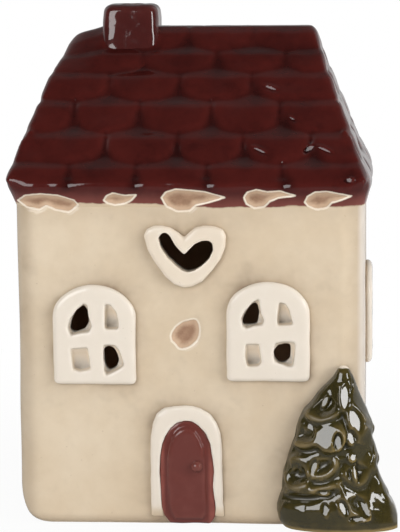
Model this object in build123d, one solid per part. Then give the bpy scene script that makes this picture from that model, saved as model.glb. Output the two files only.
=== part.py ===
from build123d import *
from dataclasses import dataclass
import math
import os

# A ceramic tealight house. It stands on z = 0 with its front towards -Y and +X on the viewer's right.
# The origin is the middle of the walls' footprint. All sizes are in millimetres.

# House walls
HOUSE_WIDTH = 115.0
HOUSE_DEPTH = 93.0
WALL_HEIGHT = 107.0
WALL_THICKNESS = 6.0
FLOOR_THICKNESS = 6.0
CORNER_RADIUS = 5.0
FOOT_ROUND = 1.5

# Joint of slip between two clay pieces that lie side by side
LUTE_GAP = 0.15

# Arched opening in the rear wall, measured from the floor inside
OPENING_WIDTH = 46.0
OPENING_HEIGHT = 36.0

# Roof: a flared eave, then rows of tiles that climb to the ridge
EAVE_OVERHANG_SIDE = 2.5
EAVE_OVERHANG_FRONT = 4.2
EAVE_FLARE_HEIGHT = 7.0
TILE_ROW_RISES = (7.7, 9.1, 9.6, 8.3, 6.8, 6.8)
HIP_INSET = 18.0
HIP_RADIUS = 1.8
RIDGE_HALF_DEPTH = 2.2
TILE_WIDTH = 24.2
TILE_BUTT_HEIGHT = 3.4
TILE_STEP = 0.7
TILE_PROUD_FRONT = 1.9
TILE_PROUD_SIDE = 1.0
TILE_JOINT_WIDTH = 1.2
FRONT_JOINT_X = 6.3
SIDE_JOINT_Y = 0.0
CEILING_BELOW_RIDGE = 18.0

# Chimney with an open flue, let into a flat seat across the ridge
CHIMNEY_X = -22.0
CHIMNEY_BASE_WIDTH = 20.4
CHIMNEY_BASE_DEPTH = 20.0
CHIMNEY_TAPER = 1.0
CHIMNEY_ABOVE_RIDGE = 7.8
CHIMNEY_CORNER_RADIUS = 3.0
CHIMNEY_RIM_ROUND = 1.6
CHIMNEY_SEAT_THICKNESS = 5.0
FLUE_WIDTH = 9.0
FLUE_RADIUS = 2.0

# Windows: an arched frame with a cross bar on every window
WINDOW_WIDTH = 27.6
WINDOW_HEIGHT = 33.5
WINDOW_ARCH_RISE = 10.8
WINDOW_BORDER = 4.2
WINDOW_BAR = 3.4
WINDOW_PROUD = 2.2
WINDOW_EDGE_ROUND = 0.9
PANE_RECESS = 1.4
LEFT_WINDOW_FROM_SIDE = 26.1
LEFT_WINDOW_SILL = 47.8
RIGHT_WINDOW_FROM_SIDE = 31.7
RIGHT_WINDOW_SILL = 49.1
SIDE_WINDOW_Y = 0.0
SIDE_WINDOW_SILL = 48.4
PANE_HOLE_WIDTH = 5.6
PANE_HOLE_HEIGHT = 7.6

# Heart above the windows, measured down from the wall's top: two round lobes that run down to one tip
HEART_X = -1.6
HEART_LOBE_DROP = 14.2
HEART_TIP_DROP = 21.8
HEART_LOBE_SPREAD = 5.9
HEART_LOBE_RADIUS = 8.2
HEART_TIP_RADIUS = 4.0
HEART_PROUD = 2.2
HEART_EDGE_ROUND = 0.9
HEART_HOLE_LOBE_DROP = 12.2
HEART_HOLE_TIP_DROP = 17.0
HEART_HOLE_RADIUS = 2.7

# Door: a raised leaf with a knob, inside a white arch
DOOR_X = -1.3
DOOR_WIDTH = 18.7
DOOR_TOP = 36.2
DOOR_FOOT = 0.8
DOOR_PROUD = 2.6
DOOR_EDGE_ROUND = 1.8
DOOR_FOOT_RADIUS = 5.0
SURROUND_WIDTH = 24.4
SURROUND_TOP = 41.1
SURROUND_FOOT = 3.0
SURROUND_PROUD = 1.9
SURROUND_EDGE_ROUND = 0.7
KNOB_X = 3.5
KNOB_Z = 20.8
KNOB_RADIUS = 1.9

# Fir tree round the right front corner: its tiers stand further out towards the tip
TREE_HEIGHT = 55.0
TREE_TIP_RADIUS = 2.4
TREE_TIP_INSIDE_SIDE = 7.1
TREE_TIP_INSIDE_FRONT = -1.8
TREE_FOOT_UNDERCUT = 2.2
TREE_TIER_STEP = 3.2
TREE_TIER_OVERLAP = 3.5

# Tealight
CUP_RADIUS = 19.0
CUP_HEIGHT = 16.0
CUP_WALL = 0.5
WAX_HEIGHT = 12.4
WAX_CLEARANCE = 0.15
SUSTAINER_RADIUS = 6.8
SUSTAINER_DISC = 0.4
COLLAR_RADIUS = 1.7
COLLAR_HEIGHT = 4.0
WICK_RADIUS = 0.8
WICK_CLEARANCE = 0.1
WICK_ABOVE_WAX = 7.0

# Shallow scoops where glaze and clay are missing
SCOOP_DEPTH = 1.9


@dataclass(frozen=True)
class Tier:
    """One ring of boughs on the tree: its lip's height and radius, and its centre inside the two walls."""

    lip_z: float
    lip_radius: float
    inside_side: float
    inside_front: float


@dataclass(frozen=True)
class Scoop:
    """One rounded scoop in the front: its centre across and above the wall's top, half sizes and turn."""

    x: float
    above_wall: float
    half_width: float
    half_height: float
    turn: float = 0.0


def tier(lip_z, lip_radius, inside_side, inside_front):
    """A tier from its sizes as shares of the tree's height."""
    return Tier(*(share * TREE_HEIGHT for share in (lip_z, lip_radius, inside_side, inside_front)))


def scoop(height, x, above_wall, half_width, half_height, turn=0.0):
    """A scoop from its sizes as shares of the house's width and of a height."""
    across = (x * HOUSE_WIDTH, half_width * HOUSE_WIDTH)
    return Scoop(across[0], above_wall * height, across[1], half_height * height, turn)


TREE_TIERS = (
    tier(lip_z=0.0909, lip_radius=0.3927, inside_side=0.1945, inside_front=0.1982),
    tier(lip_z=0.2727, lip_radius=0.3309, inside_side=0.2200, inside_front=0.1691),
    tier(lip_z=0.5273, lip_radius=0.2655, inside_side=0.2018, inside_front=0.1255),
    tier(lip_z=0.7000, lip_radius=0.2182, inside_side=0.1873, inside_front=0.0927),
)

EAVE_SCOOPS = (
    scoop(EAVE_FLARE_HEIGHT, x=-0.4026, above_wall=0.257, half_width=0.0904, half_height=0.414, turn=8.0),
    scoop(EAVE_FLARE_HEIGHT, x=-0.2000, above_wall=0.357, half_width=0.0417, half_height=0.343),
    scoop(EAVE_FLARE_HEIGHT, x=-0.1617, above_wall=0.529, half_width=0.0165, half_height=0.114),
    scoop(EAVE_FLARE_HEIGHT, x=-0.0270, above_wall=0.314, half_width=0.0496, half_height=0.586),
    scoop(EAVE_FLARE_HEIGHT, x=0.0383, above_wall=0.443, half_width=0.0670, half_height=0.243),
    scoop(EAVE_FLARE_HEIGHT, x=0.2000, above_wall=0.386, half_width=0.0417, half_height=0.443),
    scoop(EAVE_FLARE_HEIGHT, x=0.2583, above_wall=0.571, half_width=0.0452, half_height=0.129),
    scoop(EAVE_FLARE_HEIGHT, x=0.3722, above_wall=0.300, half_width=0.0452, half_height=0.486),
    scoop(EAVE_FLARE_HEIGHT, x=0.4217, above_wall=0.471, half_width=0.0417, half_height=0.229),
)

WALL_SCOOPS = (
    scoop(WALL_HEIGHT, x=-0.0139, above_wall=-0.3944, half_width=0.0400, half_height=0.0467),
    scoop(WALL_HEIGHT, x=0.0078, above_wall=-0.3645, half_width=0.0174, half_height=0.0224),
)

# Planes on the outer wall faces, with their normals outwards and their own y axis upwards
FRONT_WALL = Plane(origin=(0, -HOUSE_DEPTH / 2, 0), x_dir=(1, 0, 0), z_dir=(0, -1, 0))
REAR_WALL = Plane(origin=(0, HOUSE_DEPTH / 2, 0), x_dir=(-1, 0, 0), z_dir=(0, 1, 0))
RIGHT_WALL = Plane(origin=(HOUSE_WIDTH / 2, 0, 0), x_dir=(0, 1, 0), z_dir=(1, 0, 0))
LEFT_WALL = Plane(origin=(-HOUSE_WIDTH / 2, 0, 0), x_dir=(0, -1, 0), z_dir=(-1, 0, 0))

EAVE_Z = WALL_HEIGHT + EAVE_FLARE_HEIGHT
RIDGE_Z = EAVE_Z + sum(TILE_ROW_RISES)
EAVE_HALF_WIDTH = HOUSE_WIDTH / 2 + EAVE_OVERHANG_SIDE
EAVE_HALF_DEPTH = HOUSE_DEPTH / 2 + EAVE_OVERHANG_FRONT
CEILING_Z = RIDGE_Z - CEILING_BELOW_RIDGE
LEFT_WINDOW_X = LEFT_WINDOW_FROM_SIDE - HOUSE_WIDTH / 2
RIGHT_WINDOW_X = HOUSE_WIDTH / 2 - RIGHT_WINDOW_FROM_SIDE
CHIMNEY_SEAT_Z = CEILING_Z + CHIMNEY_SEAT_THICKNESS
CHIMNEY_TOP_Z = RIDGE_Z + CHIMNEY_ABOVE_RIDGE
INNER_RADIUS = max(CORNER_RADIUS - WALL_THICKNESS, 0) + HIP_RADIUS


def footprint(grow, radius):
    """The walls' footprint, grown or shrunk all round, with rounded corners."""
    return RectangleRounded(HOUSE_WIDTH + 2 * grow, HOUSE_DEPTH + 2 * grow, radius)


def arch(width, height, rise):
    """An upright outline with a flat foot on y = 0 and an arc of the given rise as its top."""
    half = width / 2
    spring = height - rise
    sides = Polyline((-half, spring), (-half, 0), (half, 0), (half, spring))
    crown = ThreePointArc((half, spring), (0, height), (-half, spring))
    return make_face([sides, crown])


def panes():
    """The four pane openings of a window, as one sketch that stands on the frame's own foot line."""
    inset = WINDOW_BORDER
    inner_width = WINDOW_WIDTH - 2 * inset
    inner_height = WINDOW_HEIGHT - 2 * inset
    inner_rise = WINDOW_ARCH_RISE * inner_width / WINDOW_WIDTH
    opening = Pos(0, inset) * arch(inner_width, inner_height, inner_rise)
    upright = Pos(0, WINDOW_HEIGHT / 2) * Rectangle(WINDOW_BAR, WINDOW_HEIGHT)
    crossbar = Pos(0, inset + inner_height / 2) * Rectangle(WINDOW_WIDTH, WINDOW_BAR)
    return opening - upright - crossbar


def pierced_panes():
    """The hand-cut holes in the upper left and lower right panes."""
    across = (WINDOW_WIDTH / 2 - WINDOW_BORDER + WINDOW_BAR / 2) / 2
    middle = WINDOW_HEIGHT / 2
    reach = (WINDOW_HEIGHT / 2 - WINDOW_BORDER + WINDOW_BAR / 2) / 2
    hole = Ellipse(PANE_HOLE_WIDTH / 2, PANE_HOLE_HEIGHT / 2)
    return Sketch() + [Pos(-across, middle + reach) * hole, Pos(across, middle - reach) * hole]


def window_frame(wall, across, sill):
    """One arched frame with its cross bar, flat on the wall."""
    place = wall * Pos(across, sill)
    frame = extrude(place * arch(WINDOW_WIDTH, WINDOW_HEIGHT, WINDOW_ARCH_RISE), WINDOW_PROUD)
    face = frame.faces().sort_by(Axis(wall.origin, wall.z_dir))[-1]
    frame = fillet(face.edges(), WINDOW_EDGE_ROUND)
    return frame - extrude(place * panes(), WINDOW_PROUD)


def window_cuts(wall, across, sill, pierced):
    """What a window takes out of the wall behind it: pane recesses, and holes where it is pierced."""
    place = wall * Pos(across, sill)
    cuts = [extrude(place * panes(), -PANE_RECESS)]
    if pierced:
        cuts.append(extrude(place * pierced_panes(), -2 * WALL_THICKNESS))
    return cuts


def two_lobes(lobe_drop, tip_drop, spread, lobe_radius, tip_radius):
    """A heart as two fingers, each a hull of one lobe's circle and the tip's circle."""
    shape = Sketch()
    tip = Pos(0, WALL_HEIGHT - tip_drop) * Circle(tip_radius)
    for side in (-1, 1):
        lobe = Pos(side * spread, WALL_HEIGHT - lobe_drop) * Circle(lobe_radius)
        shape += make_hull(lobe.edges() + tip.edges())
    return shape


def heart_hole():
    """The pierced middle of the heart, a V of two round-ended slots."""
    return two_lobes(
        HEART_HOLE_LOBE_DROP, HEART_HOLE_TIP_DROP, HEART_LOBE_SPREAD, HEART_HOLE_RADIUS, HEART_HOLE_RADIUS
    )


def heart_frame():
    """The white heart round the pierced middle."""
    place = FRONT_WALL * Pos(HEART_X, 0)
    outline = two_lobes(
        HEART_LOBE_DROP, HEART_TIP_DROP, HEART_LOBE_SPREAD, HEART_LOBE_RADIUS, HEART_TIP_RADIUS
    )
    heart = extrude(place * outline, HEART_PROUD)
    face = heart.faces().sort_by(Axis.Y)[0]
    heart = fillet(face.edges(), HEART_EDGE_ROUND)
    return heart - extrude(place * heart_hole(), HEART_PROUD)


def door_outline(grow):
    """The door leaf's outline, a round-topped arch with rounded lower corners, grown by a gap."""
    width = DOOR_WIDTH + 2 * grow
    leaf = arch(width, DOOR_TOP - DOOR_FOOT + 2 * grow, width / 2)
    corners = leaf.vertices().sort_by(Axis.Y)[:2]
    return Pos(DOOR_X, DOOR_FOOT - grow) * fillet(corners, DOOR_FOOT_RADIUS)


def door_leaf():
    """The raised red leaf."""
    leaf = extrude(FRONT_WALL * door_outline(0), DOOR_PROUD)
    face = leaf.faces().sort_by(Axis.Y)[0]
    return fillet(face.edges(), DOOR_EDGE_ROUND)


def door_surround():
    """The white arch that stands round the leaf."""
    outline = Pos(DOOR_X, SURROUND_FOOT) * arch(
        SURROUND_WIDTH, SURROUND_TOP - SURROUND_FOOT, SURROUND_WIDTH / 2
    )
    block = extrude(FRONT_WALL * outline, SURROUND_PROUD)
    face = block.faces().sort_by(Axis.Y)[0]
    block = fillet(face.edges(), SURROUND_EDGE_ROUND)
    return block - extrude(FRONT_WALL * door_outline(LUTE_GAP), SURROUND_PROUD)


def door_knob():
    """A half-round pellet on the leaf's face."""
    place = FRONT_WALL * Pos(DOOR_X + KNOB_X, KNOB_Z, DOOR_PROUD)
    return place * Sphere(KNOB_RADIUS, arc_size1=0, align=(Align.CENTER, Align.CENTER, Align.MIN))


def front_face_y(above_wall):
    """Where the front's surface lies at a height over the wall's top: upright wall, then flared eave."""
    flare = (EAVE_OVERHANG_FRONT + TILE_STEP) / EAVE_FLARE_HEIGHT
    return -HOUSE_DEPTH / 2 - max(above_wall, 0) * flare


def scoop_cuts(scoops):
    """Ellipsoids sunk to their middle in the front's surface."""
    cuts = []
    for hollow in scoops:
        ball = scale(Sphere(1), by=(hollow.half_width, SCOOP_DEPTH, hollow.half_height))
        place = Pos(hollow.x, front_face_y(hollow.above_wall), WALL_HEIGHT + hollow.above_wall)
        cuts.append(place * Rot(0, hollow.turn, 0) * ball)
    return cuts


def house_body():
    """Walls and floor with the rear opening, pane recesses, pierced holes and scoops."""
    outer = extrude(footprint(0, CORNER_RADIUS), WALL_HEIGHT)
    outer = fillet(outer.faces().sort_by(Axis.Z)[0].edges(), FOOT_ROUND)
    chamber = Pos(0, 0, FLOOR_THICKNESS) * extrude(footprint(-WALL_THICKNESS, INNER_RADIUS), WALL_HEIGHT)
    doorway = REAR_WALL * Pos(0, FLOOR_THICKNESS) * arch(OPENING_WIDTH, OPENING_HEIGHT, OPENING_WIDTH / 2)
    cuts = [chamber, extrude(doorway, -2 * WALL_THICKNESS)]
    cuts += window_cuts(FRONT_WALL, LEFT_WINDOW_X, LEFT_WINDOW_SILL, pierced=True)
    cuts += window_cuts(FRONT_WALL, RIGHT_WINDOW_X, RIGHT_WINDOW_SILL, pierced=True)
    cuts += window_cuts(RIGHT_WALL, SIDE_WINDOW_Y, SIDE_WINDOW_SILL, pierced=False)
    cuts += window_cuts(LEFT_WALL, -SIDE_WINDOW_Y, SIDE_WINDOW_SILL, pierced=False)
    cuts.append(extrude(FRONT_WALL * Pos(HEART_X, 0) * heart_hole(), -2 * WALL_THICKNESS))
    return outer - cuts - scoop_cuts(EAVE_SCOOPS + WALL_SCOOPS)


def roof_half_sizes(z):
    """Half width and half depth of the plain roof slope, without tiles, at a height."""
    share = (z - EAVE_Z) / (RIDGE_Z - EAVE_Z)
    half_width = EAVE_HALF_WIDTH - share * HIP_INSET
    half_depth = EAVE_HALF_DEPTH + share * (RIDGE_HALF_DEPTH - EAVE_HALF_DEPTH)
    return half_width, half_depth


def roof_section(z, proud_side, proud_front):
    """A level section of the roof that stands proud of the plain slope."""
    half_width, half_depth = roof_half_sizes(z)
    width = 2 * (half_width + proud_side)
    depth = 2 * (half_depth + proud_front)
    return Pos(0, 0, z) * RectangleRounded(width, depth, HIP_RADIUS)


def tile_levels():
    """The height of each row's lower edge, and of the ridge."""
    levels = [EAVE_Z]
    for rise in TILE_ROW_RISES:
        levels.append(levels[-1] + rise)
    return levels


def tile_row(bottom, top):
    """One row of tiles all round: a steep butt, then a shallower back that runs in under the next row."""
    knee = bottom + TILE_BUTT_HEIGHT
    sections = [
        roof_section(bottom, TILE_STEP, TILE_STEP),
        roof_section(knee, TILE_PROUD_SIDE, TILE_PROUD_FRONT),
        roof_section(top, 0, 0),
    ]
    return loft(sections, ruled=True)


def joint_positions(first, half_length):
    """Positions of the joints between tiles, a tile's width apart, that lie within a half length."""
    lowest = math.ceil((-half_length - first) / TILE_WIDTH)
    highest = math.floor((half_length - first) / TILE_WIDTH)
    return [first + TILE_WIDTH * step for step in range(lowest, highest + 1)]


def joint_slab(profile_plane, side, bottom, top, lower, upper):
    """A thin upright slab that takes one joint out of a tile, down to the plain slope."""
    reach = TILE_PROUD_FRONT + TILE_STEP + TILE_BUTT_HEIGHT
    blank = Polyline(
        (side * lower, bottom),
        (side * upper, top),
        (side * (upper + reach), top),
        (side * (lower + reach), bottom),
        close=True,
    )
    return extrude(make_face(profile_plane * blank), TILE_JOINT_WIDTH / 2, both=True)


def at_chimney_corner(x):
    """Whether a joint on the slope would run into a corner of the chimney's foot."""
    from_corner = abs(abs(x - CHIMNEY_X) - CHIMNEY_BASE_WIDTH / 2)
    return from_corner < CHIMNEY_CORNER_RADIUS + TILE_JOINT_WIDTH


def joint_cuts(bottom, top, row):
    """Upright joints between the tiles of one row, on all four sides, a half tile over on every other row."""
    shift = TILE_WIDTH / 2 * (row % 2)
    lower_width, lower_depth = roof_half_sizes(bottom)
    upper_width, upper_depth = roof_half_sizes(top)
    beside_chimney = top > CHIMNEY_SEAT_Z
    cuts = []
    for side in (-1, 1):
        slope_slab = joint_slab(Plane.YZ, side, bottom, top, lower_depth, upper_depth)
        for x in joint_positions(FRONT_JOINT_X - shift, upper_width - TILE_JOINT_WIDTH):
            if not (beside_chimney and at_chimney_corner(x)):
                cuts.append(Pos(x, 0, 0) * slope_slab)
        end_slab = joint_slab(Plane.XZ, side, bottom, top, lower_width, upper_width)
        for y in joint_positions(SIDE_JOINT_Y + shift, upper_depth - TILE_JOINT_WIDTH):
            cuts.append(Pos(0, y, 0) * end_slab)
    return cuts


def roof_cavity():
    """The hollow under the roof, which carries the wall thickness up to a flat ceiling."""
    half_width, half_depth = roof_half_sizes(CEILING_Z)
    rise = RIDGE_Z - EAVE_Z
    run = EAVE_HALF_DEPTH - RIDGE_HALF_DEPTH
    front_wall = WALL_THICKNESS * math.hypot(rise, run) / rise
    side_wall = WALL_THICKNESS * math.hypot(rise, HIP_INSET) / rise
    ceiling = RectangleRounded(2 * (half_width - side_wall), 2 * (half_depth - front_wall), INNER_RADIUS)
    sections = [
        Pos(0, 0, WALL_HEIGHT) * footprint(-WALL_THICKNESS, INNER_RADIUS),
        Pos(0, 0, EAVE_Z) * footprint(-WALL_THICKNESS, INNER_RADIUS),
        Pos(0, 0, CEILING_Z) * ceiling,
    ]
    return loft(sections, ruled=True)


def chimney_block(gap):
    """The tapered stack from its seat to its top, grown sideways by a gap."""
    width = CHIMNEY_BASE_WIDTH + 2 * gap
    depth = CHIMNEY_BASE_DEPTH + 2 * gap
    slim = 2 * CHIMNEY_TAPER
    foot = RectangleRounded(width, depth, CHIMNEY_CORNER_RADIUS)
    head = RectangleRounded(width - slim, depth - slim, CHIMNEY_CORNER_RADIUS)
    return loft([Pos(CHIMNEY_X, 0, CHIMNEY_SEAT_Z) * foot, Pos(CHIMNEY_X, 0, CHIMNEY_TOP_Z) * head])


def flue():
    """The open way up through the ceiling and the stack."""
    section = RectangleRounded(FLUE_WIDTH, FLUE_WIDTH, FLUE_RADIUS)
    below = CEILING_Z - CHIMNEY_SEAT_THICKNESS
    return Pos(CHIMNEY_X, 0, below) * extrude(section, 2 * (CHIMNEY_TOP_Z - below))


def roof_shell():
    """The hollow roof with its flared eave, tile rows, tile joints and the chimney's seat."""
    flare = loft(
        [
            Pos(0, 0, WALL_HEIGHT) * footprint(0, CORNER_RADIUS),
            roof_section(EAVE_Z, TILE_STEP, TILE_STEP),
        ],
        ruled=True,
    )
    levels = tile_levels()
    rows = list(zip(levels[:-1], levels[1:]))
    roof = flare + [tile_row(bottom, top) for bottom, top in rows]
    cuts = [roof_cavity(), chimney_block(LUTE_GAP), flue()]
    for row, (bottom, top) in enumerate(rows):
        cuts += joint_cuts(bottom, top, row)
    return roof - cuts - scoop_cuts(EAVE_SCOOPS)


def chimney():
    """The stack with its open flue and a rounded rim."""
    stack = chimney_block(0)
    stack = fillet(stack.faces().sort_by(Axis.Z)[-1].edges(), CHIMNEY_RIM_ROUND)
    return stack - flue()


def tree_ring(z, radius, inside_side, inside_front):
    """A level circle of the tree, with its centre measured inwards from the right and front walls."""
    return Pos(HOUSE_WIDTH / 2 - inside_side, -HOUSE_DEPTH / 2 + inside_front, z) * Circle(radius)


def fir_tree():
    """Tiers of boughs from a broad skirt to a round tip, cut away where the corner of the walls stands."""
    skirt = TREE_TIERS[0]
    foot = tree_ring(0, skirt.lip_radius - TREE_FOOT_UNDERCUT, skirt.inside_side, skirt.inside_front)
    lips = [tree_ring(tier.lip_z, tier.lip_radius, tier.inside_side, tier.inside_front) for tier in TREE_TIERS]
    tops = [
        tree_ring(
            tier.lip_z + TREE_TIER_OVERLAP,
            tier.lip_radius - TREE_TIER_STEP,
            tier.inside_side,
            tier.inside_front,
        )
        for tier in TREE_TIERS[1:]
    ]
    tip = tree_ring(
        TREE_HEIGHT - TREE_TIP_RADIUS, TREE_TIP_RADIUS, TREE_TIP_INSIDE_SIDE, TREE_TIP_INSIDE_FRONT
    )
    tree = loft([foot, lips[0]], ruled=True)
    for lip, top in zip(lips, [*tops, tip]):
        tree += loft([lip, top], ruled=True)
    tree += Pos(tip.center()) * Sphere(TREE_TIP_RADIUS)
    corner = extrude(footprint(LUTE_GAP, CORNER_RADIUS + LUTE_GAP), WALL_HEIGHT)
    return tree - corner


def tealight_cup():
    """The thin metal cup that stands on the chamber's floor."""
    shell = Cylinder(CUP_RADIUS, CUP_HEIGHT, align=(Align.CENTER, Align.CENTER, Align.MIN))
    inside = Cylinder(CUP_RADIUS - CUP_WALL, CUP_HEIGHT, align=(Align.CENTER, Align.CENTER, Align.MIN))
    return Pos(0, 0, FLOOR_THICKNESS) * (shell - Pos(0, 0, CUP_WALL) * inside)


def standing(radius, height, above_cup_floor):
    """A round post on the tealight's axis, from a height over the cup's own floor."""
    post = Cylinder(radius, height, align=(Align.CENTER, Align.CENTER, Align.MIN))
    return Pos(0, 0, FLOOR_THICKNESS + CUP_WALL + above_cup_floor) * post


def wick_sustainer():
    """A disc on the cup's floor with a collar round the foot of the wick."""
    disc = standing(SUSTAINER_RADIUS, SUSTAINER_DISC, 0)
    collar = standing(COLLAR_RADIUS, COLLAR_HEIGHT, 0)
    bore = standing(WICK_RADIUS + WICK_CLEARANCE, COLLAR_HEIGHT, SUSTAINER_DISC)
    return disc + collar - bore


def tealight_wick():
    """The wick, which stands on the disc and comes out of the wax."""
    return standing(WICK_RADIUS, WAX_HEIGHT + WICK_ABOVE_WAX - SUSTAINER_DISC, SUSTAINER_DISC)


def tealight_wax():
    """The wax, with room for the disc, the collar and the wick."""
    wax = standing(CUP_RADIUS - CUP_WALL - WAX_CLEARANCE, WAX_HEIGHT, 0)
    disc = standing(SUSTAINER_RADIUS + WAX_CLEARANCE, SUSTAINER_DISC + WAX_CLEARANCE, 0)
    collar = standing(COLLAR_RADIUS + WAX_CLEARANCE, COLLAR_HEIGHT + WAX_CLEARANCE, 0)
    bore = standing(WICK_RADIUS + WICK_CLEARANCE, WAX_HEIGHT, 0)
    return wax - disc - collar - bore


PIECES = {
    "house_body": house_body(),
    "roof_shell": roof_shell(),
    "chimney": chimney(),
    "front_window_left": window_frame(FRONT_WALL, LEFT_WINDOW_X, LEFT_WINDOW_SILL),
    "front_window_right": window_frame(FRONT_WALL, RIGHT_WINDOW_X, RIGHT_WINDOW_SILL),
    "side_window_right": window_frame(RIGHT_WALL, SIDE_WINDOW_Y, SIDE_WINDOW_SILL),
    "side_window_left": window_frame(LEFT_WALL, -SIDE_WINDOW_Y, SIDE_WINDOW_SILL),
    "heart_frame": heart_frame(),
    "door_surround": door_surround(),
    "door_leaf": door_leaf(),
    "door_knob": door_knob(),
    "fir_tree": fir_tree(),
    "tealight_cup": tealight_cup(),
    "tealight_wax": tealight_wax(),
    "tealight_wick": tealight_wick(),
    "wick_sustainer": wick_sustainer(),
}

os.makedirs("parts", exist_ok=True)
for name, piece in PIECES.items():
    export_step(piece, f"parts/{name}.step")
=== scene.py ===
"""The look of a glazed ceramic tealight house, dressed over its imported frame."""

import logging
import math
from dataclasses import dataclass, field
from enum import Enum

import bmesh
import bpy
import numpy as np
from mathutils import Matrix, Vector, noise
from mathutils.bvhtree import BVHTree


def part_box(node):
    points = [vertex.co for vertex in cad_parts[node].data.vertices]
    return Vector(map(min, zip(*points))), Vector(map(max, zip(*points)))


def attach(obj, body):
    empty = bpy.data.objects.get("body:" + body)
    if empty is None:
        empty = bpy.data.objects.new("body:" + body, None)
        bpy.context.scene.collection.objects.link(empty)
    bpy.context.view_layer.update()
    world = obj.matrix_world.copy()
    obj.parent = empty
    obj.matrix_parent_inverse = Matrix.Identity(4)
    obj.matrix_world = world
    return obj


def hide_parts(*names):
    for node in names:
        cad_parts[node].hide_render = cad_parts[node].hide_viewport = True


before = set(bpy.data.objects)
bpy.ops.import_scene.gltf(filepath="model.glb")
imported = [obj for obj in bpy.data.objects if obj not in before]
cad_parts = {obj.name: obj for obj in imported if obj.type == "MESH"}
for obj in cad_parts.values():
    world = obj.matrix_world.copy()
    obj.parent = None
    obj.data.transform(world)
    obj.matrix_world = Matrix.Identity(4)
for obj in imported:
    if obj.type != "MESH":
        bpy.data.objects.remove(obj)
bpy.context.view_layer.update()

log = logging.getLogger("tealight_house")

MM = 0.001
IMAGE_WIDTH = 400
IMAGE_HEIGHT = 532
ARC_STEPS = 20
WALL_JOIN_Z = 107.0

Point = tuple[float, float, float]
Colour = tuple[float, float, float]
Outline = tuple[tuple[float, float], ...]


class Body(Enum):
    """The two bodies of the frame."""

    HOUSE = "house"
    TEALIGHT = "tealight"


class Keep(Enum):
    """Which side of a level cut stays."""

    BELOW = "below"
    ABOVE = "above"


def srgb(red: int, green: int, blue: int) -> Colour:
    """Gives a screen colour as the linear one that a shader takes.

    Args:
        red: Red of 255.
        green: Green of 255.
        blue: Blue of 255.

    Returns:
        The linear colour.
    """
    shares = (red / 255, green / 255, blue / 255)
    return tuple(s / 12.92 if s <= 0.04045 else ((s + 0.055) / 1.055) ** 2.4 for s in shares)


@dataclass(frozen=True)
class Box:
    """The corners of a frame node in millimetres."""

    low: Vector
    high: Vector

    @classmethod
    def of(cls, node: str) -> "Box":
        """Reads a node's box from the frame."""
        low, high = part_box(node)
        return cls(low / MM, high / MM)

    @property
    def middle(self) -> Vector:
        """The middle of the box."""
        return (self.low + self.high) / 2

    @property
    def size(self) -> Vector:
        """The lengths of the box's sides."""
        return self.high - self.low


@dataclass(frozen=True)
class WallFace:
    """The plane of a wall: across, up and out of it."""

    across: Point
    out: Point
    distance: float

    def matrix(self, across: float, up: float) -> Matrix:
        """Gives the place of a relief on the wall.

        Args:
            across: How far along the wall its middle lies.
            up: How high its foot lies.

        Returns:
            A matrix that takes across, up and out to the house's own axes.
        """
        side, away = Vector(self.across), Vector(self.out)
        place = Matrix((side, Vector((0, 0, 1)), away)).transposed().to_4x4()
        place.translation = away * self.distance + side * across + Vector((0, 0, up))
        return place


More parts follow.
